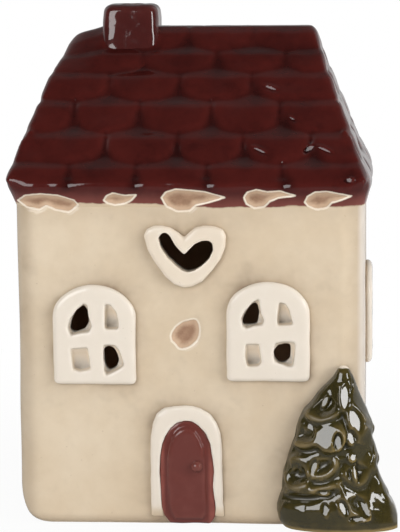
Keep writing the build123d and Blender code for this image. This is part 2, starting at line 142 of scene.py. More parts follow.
class Clay:
    """A lump of clay in millimetres, shaped with bmesh operators and fired into a finished piece."""

    def __init__(self) -> None:
        """Starts with no clay."""
        self.bm = bmesh.new()

    @classmethod
    def block(cls, low: Point, high: Point) -> "Clay":
        """Makes a box between two corners."""
        lump = cls()
        low, high = Vector(low), Vector(high)
        place = Matrix.Translation((low + high) / 2) @ Matrix.Diagonal((*(high - low), 1))
        bmesh.ops.create_cube(lump.bm, size=1.0, matrix=place)
        return lump

    @classmethod
    def ball(cls, centre: Point, radii: Point, turn: Matrix | None = None, detail: int = 4) -> "Clay":
        """Makes an ellipsoid.

        Args:
            centre: Its middle.
            radii: Its half sizes.
            turn: How it is turned about its middle.
            detail: How often the ball is subdivided.

        Returns:
            The ellipsoid.
        """
        lump = cls()
        place = Matrix.Translation(centre) @ (turn or Matrix.Identity(4)) @ Matrix.Diagonal((*radii, 1))
        bmesh.ops.create_icosphere(lump.bm, subdivisions=detail, radius=1.0, matrix=place)
        return lump

    @classmethod
    def plate(cls, outline: Outline, low: float, high: float, back_share: float = 1.0) -> "Clay":
        """Makes a flat plate in the XY plane from its outline.

        Args:
            outline: Its corners in order.
            low: Where its back lies on Z.
            high: Where its face lies on Z.
            back_share: The size of its back for a face of 1.

        Returns:
            The plate.
        """
        lump = cls()
        ring = [lump.bm.verts.new((across, up, low)) for across, up in outline]
        lump.raise_face(lump.bm.faces.new(ring), high - low)
        middle = np.mean(outline, axis=0)
        return lump.narrow(low, (back_share, back_share), (middle[0], middle[1]))

    @classmethod
    def arch(cls, width: float, height: float, rise: float, low: float, high: float, foot: float = 0.0) -> "Clay":
        """Makes an arched plate that lies in the XY plane.

        Args:
            width: Its width.
            height: The height of its crown.
            rise: The height of its oval head.
            low: Where its back lies on Z.
            high: Where its face lies on Z.
            foot: The height of its lower edge.

        Returns:
            The plate.
        """
        lump = cls()
        half, spring = width / 2, height - rise
        start = lump.bm.verts.new((half, spring, low))
        bmesh.ops.spin(lump.bm, geom=[start], cent=(0, spring, low), axis=(0, 0, 1), angle=math.pi, steps=ARC_STEPS)
        ring = list(lump.bm.verts)
        for vert in ring:
            vert.co.y = spring + (vert.co.y - spring) * rise / half
        ring.append(lump.bm.verts.new((-half, foot, low)))
        ring.append(lump.bm.verts.new((half, foot, low)))
        lump.raise_face(lump.bm.faces.new(ring), high - low)
        return lump

    @classmethod
    def turned(cls, profile: list[tuple[float, float]], centre: Point, steps: int = 96) -> "Clay":
        """Turns a profile of radius and height about an upright axis.

        Args:
            profile: Points from the axis round the outside and back to the axis.
            centre: The foot of the axis.
            steps: How many steps the turn takes.

        Returns:
            The turned shape.
        """
        lump = cls()
        points = [lump.bm.verts.new((radius, 0, height)) for radius, height in profile]
        edges = [lump.bm.edges.new(pair) for pair in zip(points, points[1:])]
        bmesh.ops.spin(
            lump.bm,
            geom=points + edges,
            cent=(0, 0, 0),
            axis=(0, 0, 1),
            angle=math.tau,
            steps=steps,
            use_merge=True,
        )
        bmesh.ops.remove_doubles(lump.bm, verts=lump.bm.verts[:], dist=1e-4)
        lump.outwards()
        return lump.moved(Matrix.Translation(centre))

    def raise_face(self, face: bmesh.types.BMFace, height: float) -> None:
        """Extrudes a face along Z into a closed plate."""
        grown = bmesh.ops.extrude_face_region(self.bm, geom=[face])
        tops = [part for part in grown["geom"] if isinstance(part, bmesh.types.BMVert)]
        bmesh.ops.translate(self.bm, verts=tops, vec=(0, 0, height))
        self.outwards()

    def outwards(self) -> None:
        """Turns all faces outwards."""
        bmesh.ops.recalc_face_normals(self.bm, faces=self.bm.faces[:])

    def bevel(self, edges: list[bmesh.types.BMEdge], offset: float, segments: int = 5) -> "Clay":
        """Rounds the edges given."""
        bmesh.ops.bevel(
            self.bm,
            geom=edges,
            offset=offset,
            offset_type="OFFSET",
            segments=segments,
            profile=0.5,
            affect="EDGES",
            material=-1,
            clamp_overlap=True,
        )
        return self

    def round_level(self, level: float, offset: float) -> "Clay":
        """Rounds every edge that lies at a height on Z."""
        edges = [e for e in self.bm.edges if all(abs(v.co.z - level) < 1e-3 for v in e.verts)]
        rim = [e for e in edges if len(e.link_faces) == 2 and e.calc_face_angle(0.0) > 0.3]
        return self.bevel(rim, offset)

    def round_uprights(self, offset: float, test=lambda middle: True) -> "Clay":
        """Rounds the edges that run along Z and whose middle passes a test."""
        edges = []
        for edge in self.bm.edges:
            way = edge.verts[1].co - edge.verts[0].co
            middle = (edge.verts[1].co + edge.verts[0].co) / 2
            if abs(way.z) > 0.7 * way.length and test(middle):
                edges.append(edge)
        return self.bevel(edges, offset)

    def narrow(self, level: float, shares: tuple[float, float], about: tuple[float, float]) -> "Clay":
        """Scales the points at a height on Z about an upright axis."""
        for vert in self.bm.verts:
            if abs(vert.co.z - level) < 1e-3:
                vert.co.x = about[0] + (vert.co.x - about[0]) * shares[0]
                vert.co.y = about[1] + (vert.co.y - about[1]) * shares[1]
        return self

    def moved(self, place: Matrix) -> "Clay":
        """Moves the whole lump."""
        bmesh.ops.transform(self.bm, matrix=place, verts=self.bm.verts[:])
        return self

    def add(self, *others: "Clay") -> "Clay":
        """Presses other lumps onto this one, without joining them yet."""
        for other in others:
            mesh = other.to_mesh()
            self.bm.from_mesh(mesh)
            bpy.data.meshes.remove(mesh)
        return self

    def to_mesh(self) -> bpy.types.Mesh:
        """Copies the lump to a mesh."""
        mesh = bpy.data.meshes.new("clay")
        self.bm.to_mesh(mesh)
        return mesh

    def worked(self, settings: list[tuple[str, dict]]) -> "Clay":
        """Passes the lump through modifiers and keeps the result.

        Args:
            settings: The type and the values of each modifier.

        Returns:
            This lump.
        """
        holder = bpy.data.objects.new("clay", self.to_mesh())
        bpy.context.scene.collection.objects.link(holder)
        for kind, values in settings:
            modifier = holder.modifiers.new(kind.lower(), kind)
            for name, value in values.items():
                setattr(modifier, name, value)
        graph = bpy.context.evaluated_depsgraph_get()
        made = bpy.data.meshes.new_from_object(holder.evaluated_get(graph))
        self.bm.clear()
        self.bm.from_mesh(made)
        old = holder.data
        bpy.data.objects.remove(holder)
        bpy.data.meshes.remove(old)
        bpy.data.meshes.remove(made)
        return self

    def fuse(self, grain: float, rounds: int) -> "Clay":
        """Joins all that is pressed together into one skin and wipes it smooth.

        Args:
            grain: The size of the skin's cells.
            rounds: How often it is wiped.

        Returns:
            This lump.
        """
        self.worked([("REMESH", {"mode": "VOXEL", "voxel_size": grain})])
        return self.wipe(rounds)

    def wipe(self, rounds: int) -> "Clay":
        """Smooths the skin."""
        for _ in range(rounds):
            bmesh.ops.smooth_vert(
                self.bm, verts=self.bm.verts[:], factor=0.5, use_axis_x=True, use_axis_y=True, use_axis_z=True
            )
        return self

    def carve(self, *cutters: "Clay") -> "Clay":
        """Cuts closed shapes out of the lump, one after the other."""
        holders = []
        settings = []
        for cutter in cutters:
            cutter.outwards()
            holder = bpy.data.objects.new("cutter", cutter.to_mesh())
            bpy.context.scene.collection.objects.link(holder)
            holders.append(holder)
            settings.append(("BOOLEAN", {"operation": "DIFFERENCE", "object": holder, "solver": "MANIFOLD"}))
        self.worked(settings)
        for holder in holders:
            mesh = holder.data
            bpy.data.objects.remove(holder)
            bpy.data.meshes.remove(mesh)
        return self

    def level(self, height: float, keep: Keep) -> "Clay":
        """Cuts the lump level and closes the cut."""
        cut = bmesh.ops.bisect_plane(
            self.bm,
            geom=self.bm.verts[:] + self.bm.edges[:] + self.bm.faces[:],
            plane_co=(0, 0, height),
            plane_no=(0, 0, 1),
            clear_outer=keep is Keep.BELOW,
            clear_inner=keep is Keep.ABOVE,
        )
        rim = [part for part in cut["geom_cut"] if isinstance(part, bmesh.types.BMEdge)]
        bmesh.ops.triangle_fill(self.bm, use_beauty=True, edges=rim)
        self.outwards()
        return self

    def ripple(self, depth: float, length: float, seed: float, below: float = 1e9) -> "Clay":
        """Gives the skin the gentle unevenness of slip casting.

        Args:
            depth: How far the skin moves at most.
            length: How long the waves are.
            seed: Where in the noise it starts.
            below: The height above which the skin stays as it is.

        Returns:
            This lump.
        """
        self.bm.normal_update()
        start = Vector((seed, 1.7 * seed, -seed))
        for vert in self.bm.verts:
            fade = min(1.0, max(0.0, (below - vert.co.z) / 8.0))
            vert.co += vert.normal * (depth * fade * noise.noise(vert.co / length + start))
        return self

    def within(self, box: Box) -> "Clay":
        """Presses back what stands out of a box."""
        for vert in self.bm.verts:
            vert.co = [min(max(c, low), high) for c, low, high in zip(vert.co, box.low, box.high)]
        return self

    def tree(self) -> BVHTree:
        """Gives a search tree of the lump's faces."""
        return BVHTree.FromBMesh(self.bm)


class Piece:
    """A finished piece: a lump of clay made a mesh in metres, with its finish and its place in the frame."""

    def __init__(self, name: str, lump: Clay, body: Body, slot: str, stands_for: tuple[str, ...]) -> None:
        """Makes the object and hangs it on its body.

        Args:
            name: The piece's name.
            lump: Its shape in millimetres.
            body: The frame body that it rides on.
            slot: The name of a material slot; not used.
            stands_for: The frame nodes that it replaces.
        """
        lump.moved(Matrix.Scale(MM, 4))
        self.mesh = bpy.data.meshes.new(name)
        lump.bm.to_mesh(self.mesh)
        lump.bm.free()
        self.thing = bpy.data.objects.new(name, self.mesh)
        bpy.context.scene.collection.objects.link(self.thing)
        self.mesh.shade_smooth()
        self.mesh.set_sharp_from_angle(angle=math.radians(38))
        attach(self.thing, body.value)
        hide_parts(*stands_for)
        log.info("%s: %d faces", name, len(self.mesh.polygons))

    def points(self) -> np.ndarray:
        """Gives the points in millimetres."""
        flat = np.zeros(len(self.mesh.vertices) * 3)
        self.mesh.vertices.foreach_get("co", flat)
        return flat.reshape(-1, 3) / MM

    def store(self, name: str, values: np.ndarray) -> None:
        """Keeps a number for each point as an attribute."""
        layer = self.mesh.attributes.new(name, "FLOAT", "POINT")
        layer.data.foreach_set("value", np.asarray(values, np.float32))

    def mark_breaks(self, rounds: int, reach: float) -> None:
        """Stores how far each point stands out of its surroundings, as -1 to 1.

        Args:
            rounds: How wide the surroundings are, in rings of points.
            reach: The standing out that counts as 1, in millimetres.
        """
        edges = np.zeros(len(self.mesh.edges) * 2, int)
        self.mesh.edges.foreach_get("vertices", edges)
        ends = edges.reshape(-1, 2)
        places = self.points()
        count = np.maximum(np.bincount(edges, minlength=len(places)), 1)[:, None]
        calm = places.copy()
        for _ in range(rounds):
            total = np.zeros_like(calm)
            np.add.at(total, ends[:, 0], calm[ends[:, 1]])
            np.add.at(total, ends[:, 1], calm[ends[:, 0]])
            calm = 0.4 * calm + 0.6 * total / count
        normals = np.zeros(len(places) * 3)
        self.mesh.vertex_normals.foreach_get("vector", normals)
        out = np.einsum("ij,ij->i", places - calm, normals.reshape(-1, 3))
        self.store("break", np.clip(out / reach, -1, 1))

    def mark_near(self, lumps: list[BVHTree], reach: float) -> None:
        """Stores how near each point is to pressed-on reliefs, from 1 at them to 0 far off.

        Args:
            lumps: The search trees of the reliefs.
            reach: The distance over which the mark fades.
        """
        near = np.zeros(len(self.mesh.vertices))
        for index, place in enumerate(self.points()):
            spans = [lump.find_nearest(Vector(place), 4 * reach)[3] for lump in lumps]
            found = [span for span in spans if span is not None]
            if found:
                near[index] = math.exp(-min(found) / reach)
        self.store("near", near)

    def mark_sunk(self, face: WallFace) -> None:
        """Stores how deep each point of a relief lies in the wall, and how near it is to the wall's face."""
        out = self.points() @ np.array(face.out) - face.distance
        self.store("sunk", np.clip((-0.1 - out) / 1.4, 0, 1))
        self.store("foot", np.clip(1 - np.abs(out - 0.1) / 0.9, 0, 1))

    def dress(self, finish: "Finish") -> "Piece":
        """Puts a finish on the piece."""
        self.mesh.materials.clear()
        self.mesh.materials.append(finish.material())
        return self


class Value:
    """A number in a material that Python's operators work on."""

    def __init__(self, recipe: "Recipe", socket: bpy.types.NodeSocket) -> None:
        """Wraps a socket of a recipe."""
        self.recipe = recipe
        self.socket = socket

    def _math(self, operation: str, *values: "Value | float") -> "Value":
        """Adds a Math node."""
        made = self.recipe.node("ShaderNodeMath", {"operation": operation}, dict(enumerate(values)))
        return Value(self.recipe, made.outputs[0])

    def __add__(self, other: "Value | float") -> "Value":
        """Adds."""
        return self._math("ADD", self, other)

    __radd__ = __add__

    def __sub__(self, other: "Value | float") -> "Value":
        """Subtracts."""
        return self._math("SUBTRACT", self, other)

    def __rsub__(self, other: "Value | float") -> "Value":
        """Subtracts this from a number."""
        return self._math("SUBTRACT", other, self)

    def __mul__(self, other: "Value | float") -> "Value":
        """Multiplies."""
        return self._math("MULTIPLY", self, other)

    __rmul__ = __mul__

    def __truediv__(self, other: "Value | float") -> "Value":
        """Divides."""
        return self._math("DIVIDE", self, other)

    def __rtruediv__(self, other: "Value | float") -> "Value":
        """Divides a number by this."""
        return self._math("DIVIDE", other, self)

    def __pow__(self, other: float) -> "Value":
        """Raises to a power."""
        return self._math("POWER", self, other)

    def __abs__(self) -> "Value":
        """Drops the sign."""
        return self._math("ABSOLUTE", self)

    def least(self, other: "Value | float") -> "Value":
        """Gives the smaller of two."""
        return self._math("MINIMUM", self, other)

    def most(self, other: "Value | float") -> "Value":
        """Gives the larger of two."""
        return self._math("MAXIMUM", self, other)

    def root(self) -> "Value":
        """Gives the square root."""
        return self._math("SQRT", self)

    def sine(self) -> "Value":
        """Gives the sine."""
        return self._math("SINE", self)

    def ease(self, start: float, end: float) -> "Value":
        """Rises softly from 0 at a start to 1 at an end, which may be the smaller of the two."""
        low, high = min(start, end), max(start, end)
        limits = {"From Min": low, "From Max": high, "Value": self}
        made = self.recipe.node("ShaderNodeMapRange", {"interpolation_type": "SMOOTHSTEP", "clamp": True}, limits)
        risen = Value(self.recipe, made.outputs["Result"])
        return risen if end > start else 1 - risen


class Recipe:
    """The nodes of one material."""

    def __init__(self, name: str) -> None:
        """Starts an empty material."""
        self.material = bpy.data.materials.new(name)
        self.material.use_nodes = True
        self.tree = self.material.node_tree
        self.tree.nodes.clear()
        coords = self.node("ShaderNodeTexCoord")
        scale = {0: coords.outputs["Object"], "Scale": 1 / MM}
        self.place = self.node("ShaderNodeVectorMath", {"operation": "SCALE"}, scale).outputs[0]
        axes = self.node("ShaderNodeSeparateXYZ", {}, {0: self.place}).outputs
        self.x, self.y, self.z = (Value(self, axis) for axis in axes)

    def node(self, kind: str, settings: dict | None = None, sockets: dict | None = None) -> bpy.types.Node:
        """Adds a node.

        Args:
            kind: Its type.
            settings: Its own values, which are set first.
            sockets: Values or links of its inputs, by name or number.

        Returns:
            The node.
        """
        made = self.tree.nodes.new(kind)
        for name, value in (settings or {}).items():
            setattr(made, name, value)
        for key, value in (sockets or {}).items():
            if isinstance(value, Value):
                value = value.socket
            if isinstance(value, bpy.types.NodeSocket):
                self.tree.links.new(value, made.inputs[key])
            elif isinstance(value, tuple) and len(value) == 3 and made.inputs[key].type == "RGBA":
                made.inputs[key].default_value = (*value, 1.0)
            else:
                made.inputs[key].default_value = value
        return made

    def noise(self, length: float, detail: float = 2.0, rough: float = 0.5, shift: float = 0.0) -> Value:
        """Gives noise about 0 that reaches about half each way.

        Args:
            length: The size of its patches in millimetres.
            detail: How many finer layers it has.
            rough: How strong the finer layers are.
            shift: Where in the noise it starts.

        Returns:
            The noise.
        """
        moved = self.node("ShaderNodeVectorMath", {"operation": "ADD"}, {0: self.place, 1: (shift, shift, -shift)})
        inputs = {"Vector": moved.outputs[0], "Scale": 1 / length, "Detail": detail, "Roughness": rough}
        made = self.node("ShaderNodeTexNoise", {"noise_dimensions": "3D"}, inputs)
        return Value(self, made.outputs[0]) - 0.5

    def mark(self, name: str) -> Value:
        """Reads a number that the mesh stores."""
        made = self.node("ShaderNodeAttribute", {"attribute_name": name, "attribute_type": "GEOMETRY"})
        return Value(self, made.outputs["Fac"])

    def blend(self, share: Value, first: "Colour | bpy.types.NodeSocket", second: "Colour | bpy.types.NodeSocket"):
        """Mixes two colours and gives the mixed one's socket."""
        settings = {"data_type": "RGBA", "clamp_factor": True}
        made = self.node("ShaderNodeMix", settings, {0: share, 6: first, 7: second})
        return made.outputs[2]

    def bump(self, height: Value, reach: float) -> bpy.types.NodeSocket:
        """Turns heights in millimetres into a normal."""
        inputs = {"Height": height, "Distance": MM, "Strength": reach}
        return self.node("ShaderNodeBump", {}, inputs).outputs[0]

    def finish(self, sockets: dict) -> bpy.types.Material:
        """Closes the material with a Principled shader that takes the sockets given."""
        shader = self.node("ShaderNodeBsdfPrincipled", {}, sockets)
        self.node("ShaderNodeOutputMaterial", {}, {"Surface": shader.outputs[0]})
        return self.material


@dataclass(frozen=True)
class Finish:
    """A surface finish."""

    name: str

    def material(self) -> bpy.types.Material:
        """Gives the finish's material, made once."""
        name = self.name + "_finish"
        known = bpy.data.materials.get(name)
        return known or self.mix(Recipe(name))

    def mix(self, recipe: Recipe) -> bpy.types.Material:
        """Mixes the finish.

        Args:
            recipe: The empty material.

        Returns:
            The material.
        """
        raise NotImplementedError


@dataclass(frozen=True)
class Profile:
    """A number that changes along a length, given at a few stops in order."""

    stops: Outline

    def at(self, along: "float | np.ndarray") -> "float | np.ndarray":
        """Gives the number at a place or at many."""
        places, values = zip(*self.stops)
        return np.interp(along, places, values)


@dataclass(frozen=True)
class Front:
    """What the eave's front shows: scoops that bare the clay, and the uneven line where the red glaze ends.

    Outlines and line are given across the front and above the join of wall and roof.
    """

    eave_scoops: tuple[Outline, ...]
    wall_scoops: tuple[Outline, ...]
    line: Profile
    depth: float = 1.5
    behind: float = -42.0

    @staticmethod
    def span(outline: Outline, places: np.ndarray) -> np.ndarray:
        """Gives the distance of points from an outline.

        Args:
            outline: Its corners in order.
            places: Points across and above.

        Returns:
            Millimetres, below 0 inside the outline.
        """
        nearest = np.full(len(places), 1e3)
        inside = np.zeros(len(places), bool)
        for start, end in zip(outline, (*outline[1:], outline[0])):
            way = np.subtract(end, start)
            from_start = places - start
            share = np.clip(from_start @ way / (way @ way), 0, 1)
            nearest = np.minimum(nearest, np.linalg.norm(from_start - share[:, None] * way, axis=1))
            passes = (start[1] > places[:, 1]) != (end[1] > places[:, 1])
            rise = from_start[:, 1] / (way[1] or 1.0)
            inside ^= passes & (from_start[:, 0] < rise * way[0])
        return np.where(inside, -nearest, nearest)

    def bareness(self, places: np.ndarray) -> np.ndarray:
        """Gives the distance of points in space from the nearest scoop's edge."""
        flat = places[:, (0, 2)] - (0, WALL_JOIN_Z)
        spans = [self.span(outline, flat) for outline in self.eave_scoops + self.wall_scoops]
        return np.where(places[:, 1] < self.behind, np.min(spans, axis=0), 1e2)

    def press(self, lump: Clay) -> None:
        """Presses the scoops into a lump's front."""
        verts = list(lump.bm.verts)
        bare = self.bareness(np.array([vert.co for vert in verts]))
        for vert, span in zip(verts, bare):
            vert.co.y += self.depth * min(1.0, max(0.0, (0.3 - span) / 2.0)) ** 0.7

    def mark(self, piece: "Piece") -> None:
        """Stores how far each point is from a scoop and over the glaze line."""
        places = piece.points()
        piece.store("scoop", self.bareness(places))
        piece.store("over", places[:, 2] - WALL_JOIN_Z - self.line.at(places[:, 0]))


FRONT_MARKS = Front(
    eave_scoops=(
        (
            (-56.2, 1.8),
            (-53.2, 4.0),
            (-48.1, 4.6),
            (-42.3, 4.0),
            (-37.3, 2.3),
            (-36.0, 0.6),
            (-39.0, -1.9),
            (-43.6, -1.1),
            (-46.5, 0.2),
            (-49.1, -1.1),
            (-53.3, -0.3),
        ),
        (
            (-27.6, 2.3),
            (-26.4, 4.0),
            (-24.3, 4.9),
            (-20.5, 4.0),
            (-16.8, 4.3),
            (-18.4, 2.4),
            (-20.6, 1.1),
            (-23.9, 0.5),
            (-26.4, 1.2),
        ),
        (
            (-8.6, 3.2),
            (-7.2, 5.2),
            (-3.8, 6.3),
            (0.3, 6.0),
            (5.3, 5.4),
            (12.1, 3.4),
            (6.1, 1.4),
            (2.4, 0.5),
            (0.3, -1.4),
            (-3.9, -1.5),
            (-7.2, 0.1),
        ),
        (
            (18.2, 3.3),
            (19.4, 5.2),
            (22.3, 6.1),
            (26.0, 5.4),
            (29.8, 5.7),
            (34.9, 4.1),
            (29.4, 3.3),
            (26.7, 2.1),
            (24.8, 0.0),
            (21.5, -0.5),
            (19.0, 1.0),
        ),
        (
            (37.9, 1.7),
            (38.9, 3.8),
            (41.3, 5.3),
            (45.1, 5.6),
            (48.8, 4.8),
            (53.1, 3.9),
            (49.2, 2.3),
            (46.7, 1.5),
            (45.0, -0.4),
            (41.7, -0.9),
            (38.9, 0.3),
        ),
    ),
    wall_scoops=(
        (
            (-6.4, -42.7),
            (-5.7, -41.1),
            (-4.2, -39.3),
            (-2.3, -38.0),
            (1.3, -37.1),
            (2.4, -37.4),
            (3.1, -38.6),
            (3.5, -40.5),
            (3.3, -42.5),
            (2.7, -44.3),
            (1.2, -45.8),
            (-0.5, -46.9),
            (-2.2, -47.5),
            (-3.9, -47.1),
            (-4.8, -45.7),
            (-6.0, -44.7),
        ),
    ),
    line=Profile(((-57, 0.9), (-34, 1.3), (-14, 1.1), (5, 0.0), (12, -0.2), (33, 0.2), (50, 0.2), (58, 0.5))),
)


@dataclass(frozen=True)
class Scoops:
    """How bare the clay is in a material, how much of the glaze's pale rim shows, and the clay's colour, painted paler
    towards the rim where the scoop's slope catches the light.
    """

    bare: Value
    rim: Value
    clay: bpy.types.NodeSocket

    @classmethod
    def of(cls, recipe: Recipe) -> "Scoops":
        """Reads the scoops in a material."""
        edge = recipe.mark("scoop") + 0.35 * recipe.noise(1.5, 3, 0.6, 51)
        bare = edge.ease(-0.25, -0.42)
        rim = edge.ease(0.5, 0.1) * (1 - bare)
        worn = recipe.noise(2.6, 4, 0.65, 17)
        # Painted light: the clay is paler near the scoop's rim, where its slope faces the light, and darker deeper in
        deep = (edge + 1.3 * worn).ease(-0.6, -2.6)
        return cls(bare, rim, recipe.blend(deep, CLAY_LIT_RIM, recipe.blend(worn.ease(-0.3, 0.3), CLAY_DARK, CLAY)))


def glaze_line(recipe: Recipe) -> Value:
    """Gives the height over the uneven line where the red glaze ends, in millimetres."""
    return recipe.mark("over") + 1.5 * recipe.noise(9, 2, 0.5, 40) + 0.9 * recipe.noise(3, 2, 0.5, 44)


CLAY = srgb(178, 142, 115)
CLAY_DARK = srgb(150, 116, 92)
# Clay near a scoop's rim, painted paler as lit on its slope
CLAY_LIT_RIM = srgb(206, 176, 148)
RIM_WHITE = srgb(242, 229, 210)
RED_THIN = srgb(128, 70, 62)


@dataclass(frozen=True)
class CreamGlaze(Finish):
    """Thin cream glaze that pools brown-grey in corners, with painted shade near the reliefs, in hollows, towards the
    side corners and under the eave, darker towards the foot, a painted sheen on the right front corner, and bare clay
    in the scoops and inside.
    """

    cream: Colour = srgb(216, 196, 168)
    pale: Colour = srgb(226, 209, 184)
    # Colour of pooled glaze and of painted shade
    pooled_and_shaded: Colour = srgb(158, 138, 116)
    # Pale glaze and painted sheen of the right front corner
    edge: Colour = srgb(226, 217, 207)

    def mix(self, recipe: Recipe) -> bpy.types.Material:
        """Mixes the finish."""
        wash = recipe.noise(26, 3, 0.55) + 0.6 * recipe.noise(7, 4, 0.6, 13)
        streaks = recipe.noise(3.5, 2, 0.5, 5)
        patches = recipe.noise(15, 3, 0.6, 31)
        # Pooled glaze and painted shade: darker near the pressed-on reliefs and in hollows
        pool_and_shade = recipe.mark("near") * (0.36 + 1.6 * patches) + recipe.mark("near") ** 4 * 0.15
        pool_and_shade = pool_and_shade + recipe.mark("break").ease(0.0, -0.6) * 0.6
        # Painted shade towards the side corners
        corner = (abs(recipe.x) + 2.5 * recipe.noise(14, 2, 0.5, 3)).ease(50, 55) * 0.3
        # Painted shade under the eave
        eave = (recipe.z + 8 * recipe.noise(14, 3, 0.5, 8)).ease(97, 107.5) * 0.16
        # Darker towards the foot
        foot_darkening = recipe.z.ease(4.5, 0.8) * 0.4
        pool_and_shade = pool_and_shade + corner + eave + foot_darkening + 0.14 * streaks + patches.ease(0.05, 0.3) * 0.22
        colour = recipe.blend(wash.ease(-0.35, 0.45), self.cream, self.pale)
        colour = recipe.blend(pool_and_shade.least(0.9).most(0), colour, self.pooled_and_shaded)
        pinholes = recipe.noise(0.9, 0, 0.5, 71).ease(0.34, 0.38)
        colour = recipe.blend(pinholes * 0.25, colour, CLAY_DARK)
        colour = recipe.blend(glaze_line(recipe).ease(-0.35, 0.35), colour, RED_THIN)
        # Right front corner: glaze breaking paler, and a painted sheen where the rounded corner catches the light
        edge = recipe.x.ease(54.6, 56.6) * recipe.y.ease(-34, -42) * (0.75 + 0.5 * recipe.noise(9, 2, 0.5, 37))
        colour = recipe.blend(edge, colour, self.edge)
        scoops = Scoops.of(recipe)
        inner = (abs(recipe.x) - 51.8).most(abs(recipe.y) - 40.8).most(5.6 - recipe.z)
        foot = (recipe.z + 0.5 * recipe.noise(5, 2)).ease(0.8, 0.5)
        bare = scoops.bare.most(inner.ease(0.1, -0.1))
        colour = recipe.blend(foot, colour, self.pale)
        colour = recipe.blend(scoops.rim, colour, RIM_WHITE)
        colour = recipe.blend(bare, colour, scoops.clay)
        grain = recipe.noise(0.5, 2) * bare * 0.12 + recipe.noise(6, 2) * 0.06 + scoops.rim * 0.12
        return recipe.finish(
            {
                "Base Color": colour,
                "Roughness": 0.18 + 0.6 * bare.most(foot) + 0.06 * streaks,
                "Normal": recipe.bump(grain, 1.0),
                "IOR": 1.5,
            }
        )


@dataclass(frozen=True)
class RedGlaze(Finish):
    """Deep oxblood glaze that breaks red-brown where it runs thin, with painted highlights on its crests and painted
    shade in its hollows and at the feet of the tile joints.
    """

    # Dark red of pooled glaze and of painted shade
    deep: Colour = srgb(42, 12, 11)
    body: Colour = srgb(79, 27, 23)
    # Red-brown of thin glaze on crests, which also serves as a painted highlight
    thin: Colour = srgb(112, 56, 50)

    def mix(self, recipe: Recipe) -> bpy.types.Material:
        """Mixes the finish."""
        wash = recipe.noise(18, 3, 0.55)
        out = recipe.mark("break") + 0.35 * recipe.noise(2.2, 3, 0.6, 9)
        # Darker in hollows: pooled glaze and painted shade
        colour = recipe.blend((out + 0.8 * wash).ease(-0.6, 0.35), self.deep, self.body)
        # Paler on crests: thin glaze and a painted highlight
        colour = recipe.blend(out.ease(0.3, 0.9) * 0.5, colour, self.thin)
        dark = recipe.noise(8, 4, 0.6, 52).ease(0.02, 0.3) * 0.55
        # Pooled glaze and painted shade at the feet of the tile joints, with random dark patches
        pools = (recipe.mark("sunk") * (0.75 + 0.8 * recipe.noise(3, 3, 0.6, 28))).most(dark)
        colour = recipe.blend(pools, colour, self.deep)
        flecks = recipe.noise(1.3, 3, 0.6, 33).ease(0.16, 0.3) * recipe.noise(7, 2, 0.5, 35).ease(-0.05, 0.2)
        colour = recipe.blend(flecks * 0.4, colour, self.thin)
        line = glaze_line(recipe)
        colour = recipe.blend(line.ease(5.5, 0.0) * 0.85, colour, RED_THIN)
        colour = recipe.blend(line.ease(0.35, -0.35), colour, CREAM_GLAZE.cream)
        scoops = Scoops.of(recipe)
        inner = (abs(recipe.x) - 52.0).most(abs(recipe.y) - 41.0).most(recipe.z - 109)
        colour = recipe.blend(scoops.rim, colour, RIM_WHITE)
        colour = recipe.blend(scoops.bare.most(inner.ease(0.1, -0.1)), colour, scoops.clay)
        grain = recipe.noise(0.5, 2) * scoops.bare * 0.12 + recipe.noise(5, 2, 0.5, 2) * 0.1 + scoops.rim * 0.12
        return recipe.finish(
            {
                "Base Color": colour,
                "Roughness": 0.1 + 0.7 * scoops.bare + 0.05 * wash,
                "Normal": recipe.bump(grain, 1.0),
                "IOR": 1.5,
            }
        )


